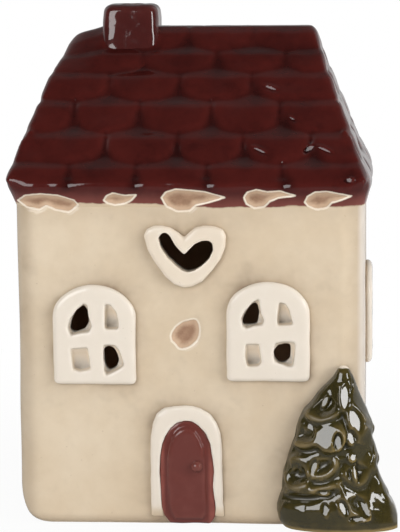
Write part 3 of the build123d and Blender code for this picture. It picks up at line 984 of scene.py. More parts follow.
@dataclass(frozen=True)
class ReliefGlaze(Finish):
    """A glaze on a pressed-on relief, paler on its crests and darker where it pools, with painted shade in its hollows
    and recesses and a painted highlight at the fir's tip.
    """

    body: Colour
    crest: Colour
    # Colour of pooled glaze and of painted shade in hollows
    pooled_and_shaded: Colour
    gloss: float = 0.12
    # Colour of the recesses: on windows and the heart, pooled glaze with painted shade and reflection; on the door, its
    # thin side bands
    sunk: Colour = (0.0, 0.0, 0.0)
    faint: float = 0.0
    index: float = 1.5
    # Height above which the fir's tip is painted white as a highlight
    tip: float = 1e3
    dull: float = 0.0

    def mix(self, recipe: Recipe) -> bpy.types.Material:
        """Mixes the finish."""
        out = recipe.mark("break") + 0.3 * recipe.noise(3, 3, 0.6, 4)
        wash = recipe.noise(11, 3, 0.55, 6)
        colour = recipe.blend((out + 0.8 * wash).ease(-0.05, 0.9), self.body, self.crest)
        # Darker in hollows: pooled glaze and painted shade
        colour = recipe.blend((out + 0.4 * wash).ease(-0.1, -0.85) * 0.85, colour, self.pooled_and_shaded)
        # Windows and heart: painted shade and reflection over pooled glaze in the sunk recesses; door: the thin glaze
        # of its side bands
        deep = recipe.mark("sunk") * (0.8 + 1.2 * recipe.noise(4, 3, 0.6, 23))
        colour = recipe.blend(deep, colour, self.sunk)
        colour = recipe.blend(recipe.mark("foot") * 0.7, colour, CREAM_GLAZE.cream)
        # Painted highlight: white at the fir's tip
        tip = (recipe.z + recipe.noise(2, 2, 0.5, 27)).ease(self.tip, self.tip + 0.5)
        colour = recipe.blend(tip, colour, RIM_WHITE)
        foot = (recipe.z + recipe.noise(3, 2, 0.5, 19)).ease(7.5, 4.0) * self.faint
        colour = recipe.blend(foot, colour, CREAM_GLAZE.cream)
        specks = recipe.noise(0.8, 0, 0.5, 61).ease(0.36, 0.4)
        colour = recipe.blend(specks * 0.3, colour, self.pooled_and_shaded)
        grain = recipe.noise(4, 2, 0.5, 2) * 0.08
        folded = abs(out).ease(0.08, 0.4) * (1 - recipe.mark("flat"))
        return recipe.finish(
            {
                "Base Color": colour,
                "Roughness": self.gloss + 0.06 * wash + 0.3 * out.ease(0.25, 0.8) + self.dull * folded,
                "Normal": recipe.bump(grain, 1.0),
                "IOR": self.index,
            }
        )


@dataclass(frozen=True)
class CupMetal(Finish):
    """Drawn aluminium with fine turned lines."""

    metal: Colour = srgb(206, 207, 210)

    def mix(self, recipe: Recipe) -> bpy.types.Material:
        """Mixes the finish."""
        scuffs = recipe.noise(1.6, 4, 0.6)
        lines = (recipe.z * 9.0).sine() * 0.02
        colour = recipe.blend(scuffs.ease(-0.4, 0.4), srgb(176, 177, 181), self.metal)
        return recipe.finish(
            {
                "Base Color": colour,
                "Metallic": 1.0,
                "Roughness": 0.3 + 0.18 * scuffs,
                "Normal": recipe.bump(lines + scuffs * 0.03, 1.0),
            }
        )


@dataclass(frozen=True)
class Wax(Finish):
    """White paraffin wax with faint clouding."""

    white: Colour = srgb(243, 240, 232)

    def mix(self, recipe: Recipe) -> bpy.types.Material:
        """Mixes the finish."""
        cloud = recipe.noise(5, 4, 0.6)
        colour = recipe.blend(cloud.ease(-0.4, 0.4), srgb(226, 222, 212), self.white)
        return recipe.finish(
            {
                "Base Color": colour,
                "Roughness": 0.42 + 0.2 * cloud,
                "Normal": recipe.bump(recipe.noise(1.4, 3) * 0.08, 1.0),
                "Subsurface Weight": 0.2,
                "Subsurface Radius": (0.002, 0.0016, 0.0012),
            }
        )


@dataclass(frozen=True)
class Cotton(Finish):
    """Waxed braided cotton."""

    yarn: Colour = srgb(236, 230, 214)

    def mix(self, recipe: Recipe) -> bpy.types.Material:
        """Mixes the finish."""
        braid = ((recipe.x + recipe.y) * 5.0 + recipe.z * 6.0).sine() * ((recipe.x - recipe.y) * 5.0 - recipe.z * 6.0).sine()
        colour = recipe.blend(braid.ease(-0.8, 0.6), srgb(196, 186, 164), self.yarn)
        return recipe.finish(
            {"Base Color": colour, "Roughness": 0.8, "Normal": recipe.bump(braid * 0.1, 1.0)}
        )


@dataclass(frozen=True)
class Steel(Finish):
    """Thin tinned steel."""

    metal: Colour = srgb(170, 172, 176)

    def mix(self, recipe: Recipe) -> bpy.types.Material:
        """Mixes the finish."""
        scuffs = recipe.noise(0.8, 4, 0.6)
        colour = recipe.blend(scuffs.ease(-0.4, 0.4), srgb(140, 141, 144), self.metal)
        return recipe.finish(
            {"Base Color": colour, "Metallic": 1.0, "Roughness": 0.34 + 0.2 * scuffs}
        )


CREAM_GLAZE = CreamGlaze("cream_glaze")
RED_GLAZE = RedGlaze("red_glaze")
CHIMNEY_GLAZE = ReliefGlaze("red_chimney_glaze", srgb(70, 28, 26), srgb(112, 56, 50), srgb(40, 14, 14), 0.08, index=1.65)
# The last colour of the white and heart glazes is the painted shade and reflection of their recesses
WHITE_GLAZE = ReliefGlaze(
    "white_glaze", srgb(234, 223, 208), srgb(246, 238, 227), srgb(190, 174, 153), 0.09, srgb(128, 124, 118), 0.9
)
HEART_GLAZE = ReliefGlaze(
    "heart_glaze", srgb(232, 217, 197), srgb(243, 233, 218), srgb(190, 173, 150), 0.09, srgb(128, 120, 112)
)
DOOR_GLAZE = ReliefGlaze(
    "door_glaze", srgb(106, 54, 48), srgb(136, 82, 74), srgb(80, 36, 32), 0.1, srgb(150, 84, 74)
)
OLIVE_GLAZE = ReliefGlaze(
    "olive_glaze", srgb(56, 50, 22), srgb(140, 118, 66), srgb(32, 29, 15), 0.06, index=1.75, tip=54.0, dull=0.32
)
CUP_METAL = CupMetal("cup_aluminium")
WAX = Wax("wax")
COTTON = Cotton("wick_cotton")
STEEL = Steel("sustainer_steel")


@dataclass
class Window:
    """An arched white window with four panes, pressed onto a wall."""

    node: str
    face: WallFace
    panes: tuple[Outline, ...]
    holes: tuple[Outline, ...] = ()
    rise: float = 10.8
    proud: float = 2.2
    edge_round: float = 1.8
    pane_floor: float = -1.5
    pane_lean: float = 2.3
    back: float = -3.6
    inset: float = 2.3
    grain: float = 0.34
    box: Box = field(init=False)

    def __post_init__(self) -> None:
        """Reads the window's place from the frame."""
        self.box = Box.of(self.node)
        middle = self.box.middle
        across = Vector(self.face.across)
        self.place = self.face.matrix(middle.dot(across), self.box.low.z)
        self.width = abs(self.box.size.dot(across))
        self.height = self.box.size.z

    def opening(self) -> Clay:
        """Gives the shape that makes room for the window in the wall."""
        lump = Clay.arch(self.width - 2 * self.inset, self.height - self.inset, self.rise, -9, 0.6, self.inset)
        return lump.moved(self.place)

    def scoop(self, pane: Outline) -> Clay:
        """Gives the shape that scoops out a pane, deepest at its foot."""
        lump = Clay.plate(pane, self.pane_floor, 4.0, 0.82)
        low, high = min(up for _, up in pane), max(up for _, up in pane)
        for vert in lump.bm.verts:
            if vert.co.z < 0:
                vert.co.z += self.pane_lean * (vert.co.y - low) / (high - low)
        return lump

    def shape(self) -> Clay:
        """Gives the frame with its panes."""
        lump = Clay.arch(self.width, self.height, self.rise, -0.3, self.proud)
        lump.round_uprights(1.8, lambda place: place.y < 0.1)
        lump.round_level(self.proud, self.edge_round)
        width, height = self.width - 2 * self.inset - 0.2, self.height - self.inset - 0.1
        lump.add(Clay.arch(width, height, self.rise, self.back, 0.3, self.inset + 0.1))
        lump.fuse(self.grain, 4)
        cutters = [self.scoop(pane) for pane in self.panes]
        cutters += [Clay.plate(hole, self.back - 2, 4.0) for hole in self.holes]
        lump.carve(*cutters).fuse(self.grain, 5)
        return lump.ripple(0.2, 6.0, middle_seed(self.box)).moved(self.place)

    def build(self) -> tuple[Piece, BVHTree]:
        """Makes and dresses the window.

        Returns:
            The piece and a search tree of its shape.
        """
        lump = self.shape()
        near = lump.tree()
        piece = Piece(self.node + "_look", lump, Body.HOUSE, "white_glaze", (self.node,))
        piece.mark_breaks(14, 0.55)
        piece.mark_sunk(self.face)
        piece.dress(WHITE_GLAZE)
        return piece, near


def middle_seed(box: Box) -> float:
    """Gives a number that differs from piece to piece, for their unevenness."""
    return box.middle.x * 0.37 + box.middle.z * 0.11 + box.middle.y * 0.23


@dataclass
class Heart:
    """The white heart with its pierced heart-shaped hole."""

    face: WallFace
    node: str = "heart_frame"
    proud: float = 2.2
    back: float = -3.4
    grain: float = 0.34
    outline: Outline = (
        (-13.3, 16.4),
        (-12.1, 18.8),
        (-9.8, 19.8),
        (-7.1, 19.9),
        (-4.3, 19.3),
        (-1.8, 17.8),
        (0.2, 15.9),
        (2.1, 17.8),
        (3.9, 19.3),
        (6.7, 19.9),
        (10.1, 19.7),
        (12.9, 18.6),
        (14.0, 16.4),
        (13.8, 12.8),
        (12.1, 8.7),
        (9.5, 4.9),
        (6.0, 1.2),
        (2.4, -0.6),
        (-0.2, -0.9),
        (-3.2, 0.2),
        (-6.4, 3.1),
        (-9.5, 7.4),
        (-12.0, 11.8),
    )
    hole: Outline = (
        (-8.2, 15.7),
        (-7.5, 17.0),
        (-6.4, 17.6),
        (-5.2, 17.3),
        (-4.3, 16.3),
        (-2.9, 13.8),
        (-1.6, 12.2),
        (0.2, 10.4),
        (2.1, 12.4),
        (3.9, 14.0),
        (6.0, 14.8),
        (8.1, 14.9),
        (9.2, 14.1),
        (9.5, 11.8),
        (8.2, 8.9),
        (5.7, 6.5),
        (3.4, 5.1),
        (1.3, 4.6),
        (-0.5, 5.2),
        (-2.7, 6.9),
        (-5.2, 9.4),
        (-7.3, 12.6),
    )

    def __post_init__(self) -> None:
        """Reads the heart's place from the frame."""
        self.box = Box.of(self.node)
        self.place = self.face.matrix(self.box.middle.x, self.box.low.z)

    def core(self, share: float, low: float, high: float) -> Clay:
        """Gives the heart's plate at a share of its size."""
        middle = np.mean(self.outline, axis=0)
        shrunk = tuple(tuple(middle + (np.array(corner) - middle) * share) for corner in self.outline)
        return Clay.plate(shrunk, low, high)

    def opening(self) -> Clay:
        """Gives the shape that makes room for the heart in the wall."""
        return self.core(0.86, -9, 0.6).moved(self.place)

    def shape(self) -> Clay:
        """Gives the heart with its hole."""
        lump = self.core(1.0, -0.3, self.proud).round_level(self.proud, 1.5)
        lump.add(self.core(0.84, self.back, 0.3)).fuse(self.grain, 5)
        lump.carve(Clay.plate(self.hole, self.back - 2, 4.0)).fuse(self.grain, 4)
        return lump.ripple(0.25, 7.0, 3.3).moved(self.place)

    def build(self) -> tuple[Piece, BVHTree]:
        """Makes and dresses the heart.

        Returns:
            The piece and a search tree of its shape.
        """
        lump = self.shape()
        near = lump.tree()
        piece = Piece("heart_frame_look", lump, Body.HOUSE, "white_glaze", (self.node,))
        piece.mark_breaks(14, 0.55)
        piece.mark_sunk(self.face)
        piece.dress(HEART_GLAZE)
        return piece, near


@dataclass
class Door:
    """The arched door leaf with its raised panel, its white surround and its knob."""

    face: WallFace
    grain: float = 0.34
    leaf_low: float = 1.5
    leaf_proud: float = 2.6
    surround_proud: float = 1.9
    panel_share: tuple[float, float] = (0.7, 0.88)
    panel_lift: float = 1.8
    fade_height: float = 8.0
    leaf_outline: Outline = (
        (-0.2, 35.4),
        (-3.2, 34.7),
        (-5.5, 32.8),
        (-7.2, 30.2),
        (-8.2, 27.4),
        (-8.9, 23.1),
        (-9.2, 18.2),
        (-8.8, 12.2),
        (-8.6, 5.9),
        (-7.7, 2.7),
        (-5.7, 0.0),
        (7.8, 0.0),
        (9.2, 2.2),
        (9.6, 5.2),
        (9.4, 8.7),
        (9.0, 13.3),
        (9.2, 17.9),
        (8.9, 22.8),
        (8.1, 27.7),
        (6.4, 31.2),
        (4.1, 33.9),
        (2.1, 35.1),
    )
    surround_outline: Outline = (
        (-0.2, 38.1),
        (-3.9, 37.9),
        (-7.2, 37.2),
        (-9.8, 35.2),
        (-11.3, 31.8),
        (-12.0, 27.6),
        (-12.2, 18.8),
        (-12.2, 8.2),
        (-12.0, 0.0),
        (12.4, 0.0),
        (12.1, 8.2),
        (11.9, 18.8),
        (11.8, 25.1),
        (11.4, 28.7),
        (10.1, 32.2),
        (8.1, 35.0),
        (4.8, 37.1),
        (2.1, 37.9),
    )

    def __post_init__(self) -> None:
        """Reads the door's place from the frame."""
        self.leaf = Box.of("door_leaf")
        self.surround = Box.of("door_surround")
        self.knob = Box.of("door_knob")

    def leaf_shape(self) -> Clay:
        """Gives the leaf, with a thin band round a raised panel."""
        lump = Clay.plate(self.leaf_outline, -0.3, self.leaf_low).round_level(self.leaf_low, 1.2)
        wide, tall = self.panel_share
        outline = tuple((across * wide, self.panel_lift + up * tall) for across, up in self.leaf_outline)
        lump.add(Clay.plate(outline, 0, self.leaf_proud).round_level(self.leaf_proud, 1.0))
        lump.fuse(self.grain, 6)
        return lump.ripple(0.25, 7.0, 8.1).moved(self.face.matrix(self.leaf.middle.x, self.leaf.low.z))

    def surround_shape(self) -> Clay:
        """Gives the soft white band round the leaf."""
        lump = Clay.plate(self.surround_outline, -0.3, self.surround_proud).round_level(self.surround_proud, 1.6)
        shift = self.leaf.low.z - self.surround.low.z
        outline = tuple((across * 0.975, up + shift - 0.3) for across, up in self.leaf_outline)
        room = Clay.plate(outline, -2, 5)
        lump.fuse(self.grain, 3).carve(room).fuse(self.grain, 5)
        lump.ripple(0.25, 6.0, 5.2)
        for vert in lump.bm.verts:
            vert.co.z *= 0.2 + 0.8 * min(1.0, max(0.0, vert.co.y / self.fade_height)) ** 0.7
        return lump.moved(self.face.matrix(self.surround.middle.x, self.surround.low.z))

    def knob_shape(self) -> Clay:
        """Gives the small domed knob."""
        size = self.knob.size
        centre = self.knob.middle + Vector((0, size.y / 2 - 0.2, 0))
        return Clay.ball(tuple(centre), (size.x / 2, size.y - 0.2, size.z / 2))

    def build(self) -> list[BVHTree]:
        """Makes and dresses the door's pieces.

        Returns:
            The search trees of the pieces round which the wall's glaze pools and painted shade falls.
        """
        leaf, surround = self.leaf_shape(), self.surround_shape()
        near = [leaf.tree(), surround.tree()]
        parts = (
            ("door_leaf", leaf, DOOR_GLAZE, "door_glaze"),
            ("door_surround", surround, WHITE_GLAZE, "white_glaze"),
            ("door_knob", self.knob_shape(), DOOR_GLAZE, "door_glaze"),
        )
        for node, lump, finish, slot in parts:
            piece = Piece(node + "_look", lump, Body.HOUSE, slot, (node,))
            piece.mark_breaks(14, 0.5)
            if lump is leaf:
                self.mark_band(piece)
            piece.dress(finish)
        return near

    def mark_band(self, piece: Piece) -> None:
        """Stores where the leaf's glaze runs thin, along its sides."""
        across = np.abs(piece.points()[:, 0] - self.leaf.middle.x)
        edge = self.leaf.size.x / 2 * self.panel_share[0]
        piece.store("sunk", 0.8 * np.clip((across - edge - 0.4) / 1.0, 0, 1))


@dataclass
class Walls:
    """The four walls and the floor, with their openings."""

    openings: list[Clay]
    reliefs: list[BVHTree]
    node: str = "house_body"
    thickness: float = 6.0
    floor: float = 6.0
    corner: float = 8.0
    inner_corner: float = 4.0
    foot_round: float = 2.6
    foot_draw: float = 5.6
    foot_draw_height: float = 13.0
    back_draw: float = 0.9
    arch_width: float = 46.0
    arch_crown: float = 42.0
    grain: float = 0.95

    def shape(self) -> Clay:
        """Gives the cast walls."""
        box = Box.of(self.node)
        half_x, half_y = box.high.x, box.high.y
        lump = Clay.block((-half_x, -half_y, 0), (half_x, half_y, WALL_JOIN_Z + 4))
        lump.round_uprights(self.corner)
        lump.round_level(0, self.foot_round)
        lump.fuse(self.grain, 2)
        for vert in lump.bm.verts:
            drop = max(0.0, 1 - vert.co.z / self.foot_draw_height)
            draw = self.foot_draw * (1 - math.sqrt(max(0.0, 1 - drop**2)))
            draw += self.back_draw * max(0.0, vert.co.y / half_y) ** 1.2
            vert.co.x -= math.copysign(draw, vert.co.x) * min(1.0, abs(vert.co.x) / half_x) ** 4
        lump.ripple(0.3, 24.0, 1.3, 104.0)
        lump.within(Box(Vector((-half_x, -half_y, 0)), Vector((half_x, half_y, 200))))
        FRONT_MARKS.press(lump)
        lump.level(WALL_JOIN_Z, Keep.BELOW)
        inner_x, inner_y = half_x - self.thickness, half_y - self.thickness
        chamber = Clay.block((-inner_x, -inner_y, self.floor), (inner_x, inner_y, WALL_JOIN_Z + 9))
        chamber.round_uprights(self.inner_corner).round_level(self.floor, 2)
        arch = Clay.arch(self.arch_width, self.arch_crown - self.floor, self.arch_width / 2 - 0.1, -3, 9)
        back = WallFace((-1, 0, 0), (0, 1, 0), half_y - 5)
        arch.moved(back.matrix(0, self.floor))
        return lump.carve(chamber, arch, *self.openings)

    def build(self) -> Piece:
        """Makes and dresses the walls."""
        piece = Piece(self.node + "_look", self.shape(), Body.HOUSE, "cream_glaze", (self.node,))
        piece.mark_breaks(10, 0.8)
        piece.mark_near(self.reliefs, 3.6)
        FRONT_MARKS.mark(piece)
        return piece.dress(CREAM_GLAZE)


@dataclass(frozen=True)
class Slope:
    """One side of the roof: which way it faces and where the joints of its rows lie, from the eave up."""

    across: Point
    out: Point
    faces_front: bool
    joints: tuple[tuple[float, ...], ...]


@dataclass(frozen=True)
class Glint:
    """A small spot on the front slope that a finger pressed steeper, so that it shines towards the viewer."""

    x: float
    z: float
    half_width: float
    half_height: float
    slant: float = 0.0
    lean_across: float = -0.28
    lean_up: float = 0.2

    def press(self, places: np.ndarray) -> None:
        """Tips the spot's points, given in millimetres, about its middle."""
        aside, above = places[:, 0] - self.x, places[:, 2] - self.z
        off = np.hypot(aside / self.half_width, (above - self.slant * aside) / self.half_height)
        off = np.where(places[:, 1] < 0, off, 1e3)
        hold = np.clip((1.5 - off) / 0.7, 0, 1)
        depth = places[np.argmin(off), 1] + self.lean_across * aside + self.lean_up * above
        places[:, 1] += hold * hold * (3 - 2 * hold) * (depth - places[:, 1])


@dataclass
class Roof:
    """The hipped roof of soft scalloped tiles over a flared eave."""

    node: str = "roof_shell"
    levels: tuple[float, ...] = (114.0, 121.7, 130.8, 140.4, 148.7, 155.5, 162.3)
    front_joints: tuple[tuple[float, ...], ...] = (
        (-39.2, -17.2, 6.3, 32.2),
        (-27.8, -4.1, 18.8, 41.7),
        (-39.0, -17.2, 7.0, 31.5),
        (-28.1, -4.6, 21.4),
        (-17.7, 8.2, 33.4),
        (-26.0, -2.4, 21.4),
    )
    side_joints: tuple[tuple[float, ...], ...] = ((-24.0, 0.0, 24.0), (-36.0, -12.0, 12.0, 36.0))
    joint_width: float = 1.1
    shelf_share: float = 0.76
    scallop: float = 2.2
    pillow: float = 0.5
    foot_proud: tuple[float, float] = (0.35, 0.55)
    # Size of the pooled glaze and painted shade at the joints' feet
    pool_and_shade: tuple[float, float] = (2.3, 3.4)
    eave_proud: tuple[float, float] = (0.2, 0.4)
    eave_lift: float = 1.2
    shelf_proud: tuple[float, float] = (0.6, 1.3)
    grain: float = 0.62
    eave_half: tuple[float, float] = (60.0, 50.7)
    ridge_half: tuple[float, float] = (42.0, 2.2)
    wall_half: tuple[float, float] = (57.5, 46.5)
    wall_thickness: float = 6.0
    ceiling: float = 144.3
    ceiling_half: tuple[float, float] = (42.3, 11.8)
    brow: float = 2.0
    flare: Profile = Profile(((-5, -0.7), (0, 0), (3, 0.46), (5, 0.78), (6.3, 0.95), (7.3, 1), (8.2, 0.93), (9, 0.75)))
    ridge_drop: float = 0.32
    ridge_flat: float = 31.0
    dent: float = 0.7
    dent_width: float = 1.7
    draw_back: float = 3.4
    draw_corner: float = 8.0
    draw_right: Profile = Profile(((112, 0), (115, 0.3), (119, 1.3), (124, 1.9), (138, 2.4), (150, 3.0), (163, 2.7)))

    glints: tuple[Glint, ...] = (
        Glint(26.0, 143.4, 2.3, 0.8, -0.25),
        Glint(33.3, 134.2, 1.2, 0.8, -0.4),
        Glint(23.1, 124.9, 2.3, 0.8, -0.4),
        Glint(39.2, 125.3, 1.5, 1.0, 0.5),
        Glint(44.5, 125.1, 2.3, 0.8, -0.4),
        Glint(52.4, 116.2, 1.5, 0.8, 0.1),
    )

    def half_at(self, height: float) -> tuple[float, float]:
        """Gives the plain slope's half width and half depth at a height."""
        share = (height - self.levels[0]) / (self.levels[-1] - self.levels[0])
        wide = self.eave_half[0] + share * (self.ridge_half[0] - self.eave_half[0])
        deep = self.eave_half[1] + share * (self.ridge_half[1] - self.eave_half[1])
        return wide, deep

    def hull(self) -> Clay:
        """Gives the roof under its tiles, down past the join with the walls."""
        low, eave, top = WALL_JOIN_Z - 5, self.levels[0], self.levels[-1] - 1.0
        skirt = Clay.block((-1, -1, -1), (1, 1, 1)).round_uprights(0.15)
        uprights = [edge for edge in skirt.bm.edges if abs(edge.verts[0].co.z - edge.verts[1].co.z) > 1]
        bmesh.ops.subdivide_edges(skirt.bm, edges=uprights, cuts=11, use_grid_fill=True)
        for vert in skirt.bm.verts:
            height = low + (eave + self.brow - low) * (vert.co.z + 1) / 2
            share = self.flare.at(height - WALL_JOIN_Z)
            half = [w + (e - w) * share for w, e in zip(self.wall_half, self.eave_half)]
            vert.co = (vert.co.x * half[0], vert.co.y * half[1], height)
        cap = Clay.block((-1, -1, eave - 0.2), (1, 1, top))
        cap.narrow(eave - 0.2, tuple(h - 1.5 for h in self.eave_half), (0, 0))
        half = self.half_at(top)
        cap.narrow(top, (half[0] - 2.5, half[1] + 0.4), (0, 0))
        cap.round_uprights(2.0)
        cap.round_level(top, 1.2)
        return skirt.add(cap)

    def tile(self, slope: Slope, row: int, left: float | None, right: float | None) -> Clay:
        """Gives one tile as a soft step: a steep face under a shallow shelf.

        Args:
            slope: The slope it lies on.
            row: The row it belongs to.
            left: The joint at its left, or None at the hip.
            right: The joint at its right, or None at the hip.

        Returns:
            The tile.
        """
        side, away = Vector(slope.across), Vector(slope.out)
        low, high = self.levels[row], self.levels[row + 1]
        own, other = (1, 0) if slope.faces_front else (0, 1)
        shelf = low + self.shelf_share * (high - low)
        lump = Clay.block((-1, -1, -1), (1, 1, 1))
        level = [edge for edge in lump.bm.edges if abs(edge.verts[0].co.x - edge.verts[1].co.x) > 1]
        bmesh.ops.subdivide_edges(lump.bm, edges=level, cuts=9, use_grid_fill=True)
        for vert in lump.bm.verts:
            share, head, outer = vert.co.x, vert.co.y > 0, vert.co.z > 0
            at_hip = (left if share < 0 else right) is None
            if head:
                height = shelf if outer else high + 0.8
            elif row == 0:
                height = low + self.eave_lift
            else:
                height = low - 0.4 + self.scallop * abs(share) ** 2.5 * (0.3 if at_hip else 1.0)
            foot_proud = self.foot_proud if row else self.eave_proud
            proud = (self.shelf_proud if head else foot_proud) if outer else (-1.0, -1.0)
            half = self.half_at(height)
            run = half[own] + (proud[own] if outer or head else -7.0)
            run += self.pillow * (1 - share**2) if outer else 0.0
            end = half[other] + proud[other]
            gap = self.joint_width * (0.3 if head or not row else 1.0)
            ends = (-end if left is None else left + gap, end if right is None else right - gap)
            across = ends[0] + (ends[1] - ends[0]) * (share + 1) / 2
            vert.co = side * across + away * run + Vector((0, 0, height))
        lump.outwards()
        lump.bm.normal_update()
        for mark, sign in ((left, -1), (right, 1)):
            edges = [e for e in lump.bm.edges if self.is_face_end(e, side, away, shelf, sign)]
            lump.bevel(edges, 3.0 if mark is None else 1.6, 4)
        rims = [e for e in lump.bm.edges if len(e.link_faces) == 2 and e.calc_face_angle(0.0) > 0.5]
        return lump.bevel(rims, 0.9, 3)

    @staticmethod
    def is_face_end(edge: bmesh.types.BMEdge, side: Vector, away: Vector, shelf: float, sign: int) -> bool:
        """Tells whether an edge is the outer upright one at an end of a tile.

        Args:
            edge: The edge.
            side: The way across the slope.
            away: The way out of it.
            shelf: The height of the tile's shelf.
            sign: Which end is meant.

        Returns:
            Whether the edge is that one.
        """
        faces = edge.link_faces
        if len(faces) != 2 or max(vert.co.z for vert in edge.verts) > shelf + 0.1:
            return False
        ways = [face.normal for face in faces]
        ends = [way for way in ways if way.dot(side) * sign > 0.8]
        outs = [way for way in ways if way.dot(away) > 0.5]
        return len(ends) == 1 and len(outs) == 1

    def tiles(self, slope: Slope) -> list[Clay]:
        """Gives all tiles of a slope."""
        made = []
        other = 0 if slope.faces_front else 1
        for row in range(len(self.levels) - 1):
            end = self.half_at(self.levels[row])[other]
            joints = slope.joints[row % len(slope.joints)]
            marks = [None, *[joint for joint in joints if abs(joint) < end - 6], None]
            made += [self.tile(slope, row, left, right) for left, right in zip(marks, marks[1:])]
        return made

    def slopes(self) -> tuple[Slope, ...]:
        """Gives the four slopes."""
        return (
            Slope((1, 0, 0), (0, -1, 0), True, self.front_joints),
            Slope((-1, 0, 0), (0, 1, 0), True, self.front_joints),
            Slope((0, 1, 0), (1, 0, 0), False, self.side_joints),
            Slope((0, -1, 0), (-1, 0, 0), False, self.side_joints),
        )

    def settle(self, lump: Clay) -> None:
        """Gives the roof its hand-made unevenness: a dropped ridge end, a dented eave and drawn-in corners."""
        for vert in lump.bm.verts:
            x, y, z = vert.co
            rise = min(1.0, max(0.0, (z - self.levels[-3]) / 12))
            vert.co.z -= rise * self.ridge_drop * max(0.0, -x - self.ridge_flat)
            lip = math.exp(-(((z - self.levels[0] - 1.5) / 3.5) ** 2))
            dent = max(math.exp(-(((x - joint) / self.dent_width) ** 2)) for joint in self.front_joints[0])
            vert.co.y -= math.copysign(self.dent * dent * lip, y) if abs(y) > self.wall_half[1] - 3 else 0.0
            draw = self.draw_back * max(0.0, y / self.eave_half[1]) ** 1.2
            if x > 0:
                draw += self.draw_corner * max(0.0, -y / self.eave_half[1] - 0.62) ** 2 + self.draw_right.at(z)
            raised = min(1.0, max(0.0, (z - WALL_JOIN_Z) / 5))
            vert.co.x -= math.copysign(draw * raised * min(1.0, abs(x) / 30), x)

    def shape(self, stack: Clay, flue: Clay) -> Clay:
        """Gives the roof with its hollow and its chimney seat.

        Args:
            stack: The shape of the chimney's foot.
            flue: The shape of the chimney's flue.

        Returns:
            The roof.
        """
        lump = self.hull()
        for slope in self.slopes():
            lump.add(*self.tiles(slope))
        lump.fuse(self.grain, 14)
        lump.ripple(0.4, 8.0, 4.4)
        self.settle(lump)
        verts = list(lump.bm.verts)
        places = np.array([vert.co for vert in verts])
        for glint in self.glints:
            glint.press(places)
        for vert, place in zip(verts, places):
            vert.co = place
        FRONT_MARKS.press(lump)
        box = Box.of(self.node)
        lump.within(Box(box.low - Vector((0, 0, 20)), box.high))
        lump.level(WALL_JOIN_Z, Keep.ABOVE)
        hollow = Clay.block((-1, -1, WALL_JOIN_Z - 3), (1, 1, self.levels[0]))
        inner = [h - self.wall_thickness for h in self.wall_half]
        hollow.narrow(WALL_JOIN_Z - 3, tuple(inner), (0, 0)).narrow(self.levels[0], tuple(inner), (0, 0))
        attic = Clay.block((-1, -1, self.levels[0] - 1), (1, 1, self.ceiling))
        attic.narrow(self.levels[0] - 1, tuple(inner), (0, 0)).narrow(self.ceiling, self.ceiling_half, (0, 0))
        return lump.carve(hollow, attic, stack, flue)

    def build(self, stack: Clay, flue: Clay) -> Piece:
        """Makes and dresses the roof."""
        piece = Piece(self.node + "_look", self.shape(stack, flue), Body.HOUSE, "red_glaze", (self.node,))
        piece.mark_breaks(12, 0.8)
        FRONT_MARKS.mark(piece)
        self.mark_joint_pools_and_shade(piece)
        return piece.dress(RED_GLAZE)

    def mark_joint_pools_and_shade(self, piece: Piece) -> None:
        """Stores where the glaze lies thick and painted shade falls: at the lower ends of the joints between tiles."""
        places = piece.points()
        deep = np.zeros(len(places))
        for slope in self.slopes():
            across, out = places @ np.array(slope.across), places @ np.array(slope.out)
            faces = out / self.eave_half[slope.faces_front] > np.abs(across) / self.eave_half[not slope.faces_front]
            for row, level in enumerate(self.levels[:-1]):
                above = (places[:, 2] - level - 1.2) / self.pool_and_shade[1]
                for joint in slope.joints[row % len(slope.joints)]:
                    aside = (across - joint) / (self.pool_and_shade[0] * np.clip(1.1 - 0.6 * above, 0.3, 1.4))
                    deep = np.maximum(deep, faces * np.exp(-(aside**2) - above**2))
        piece.store("sunk", deep)


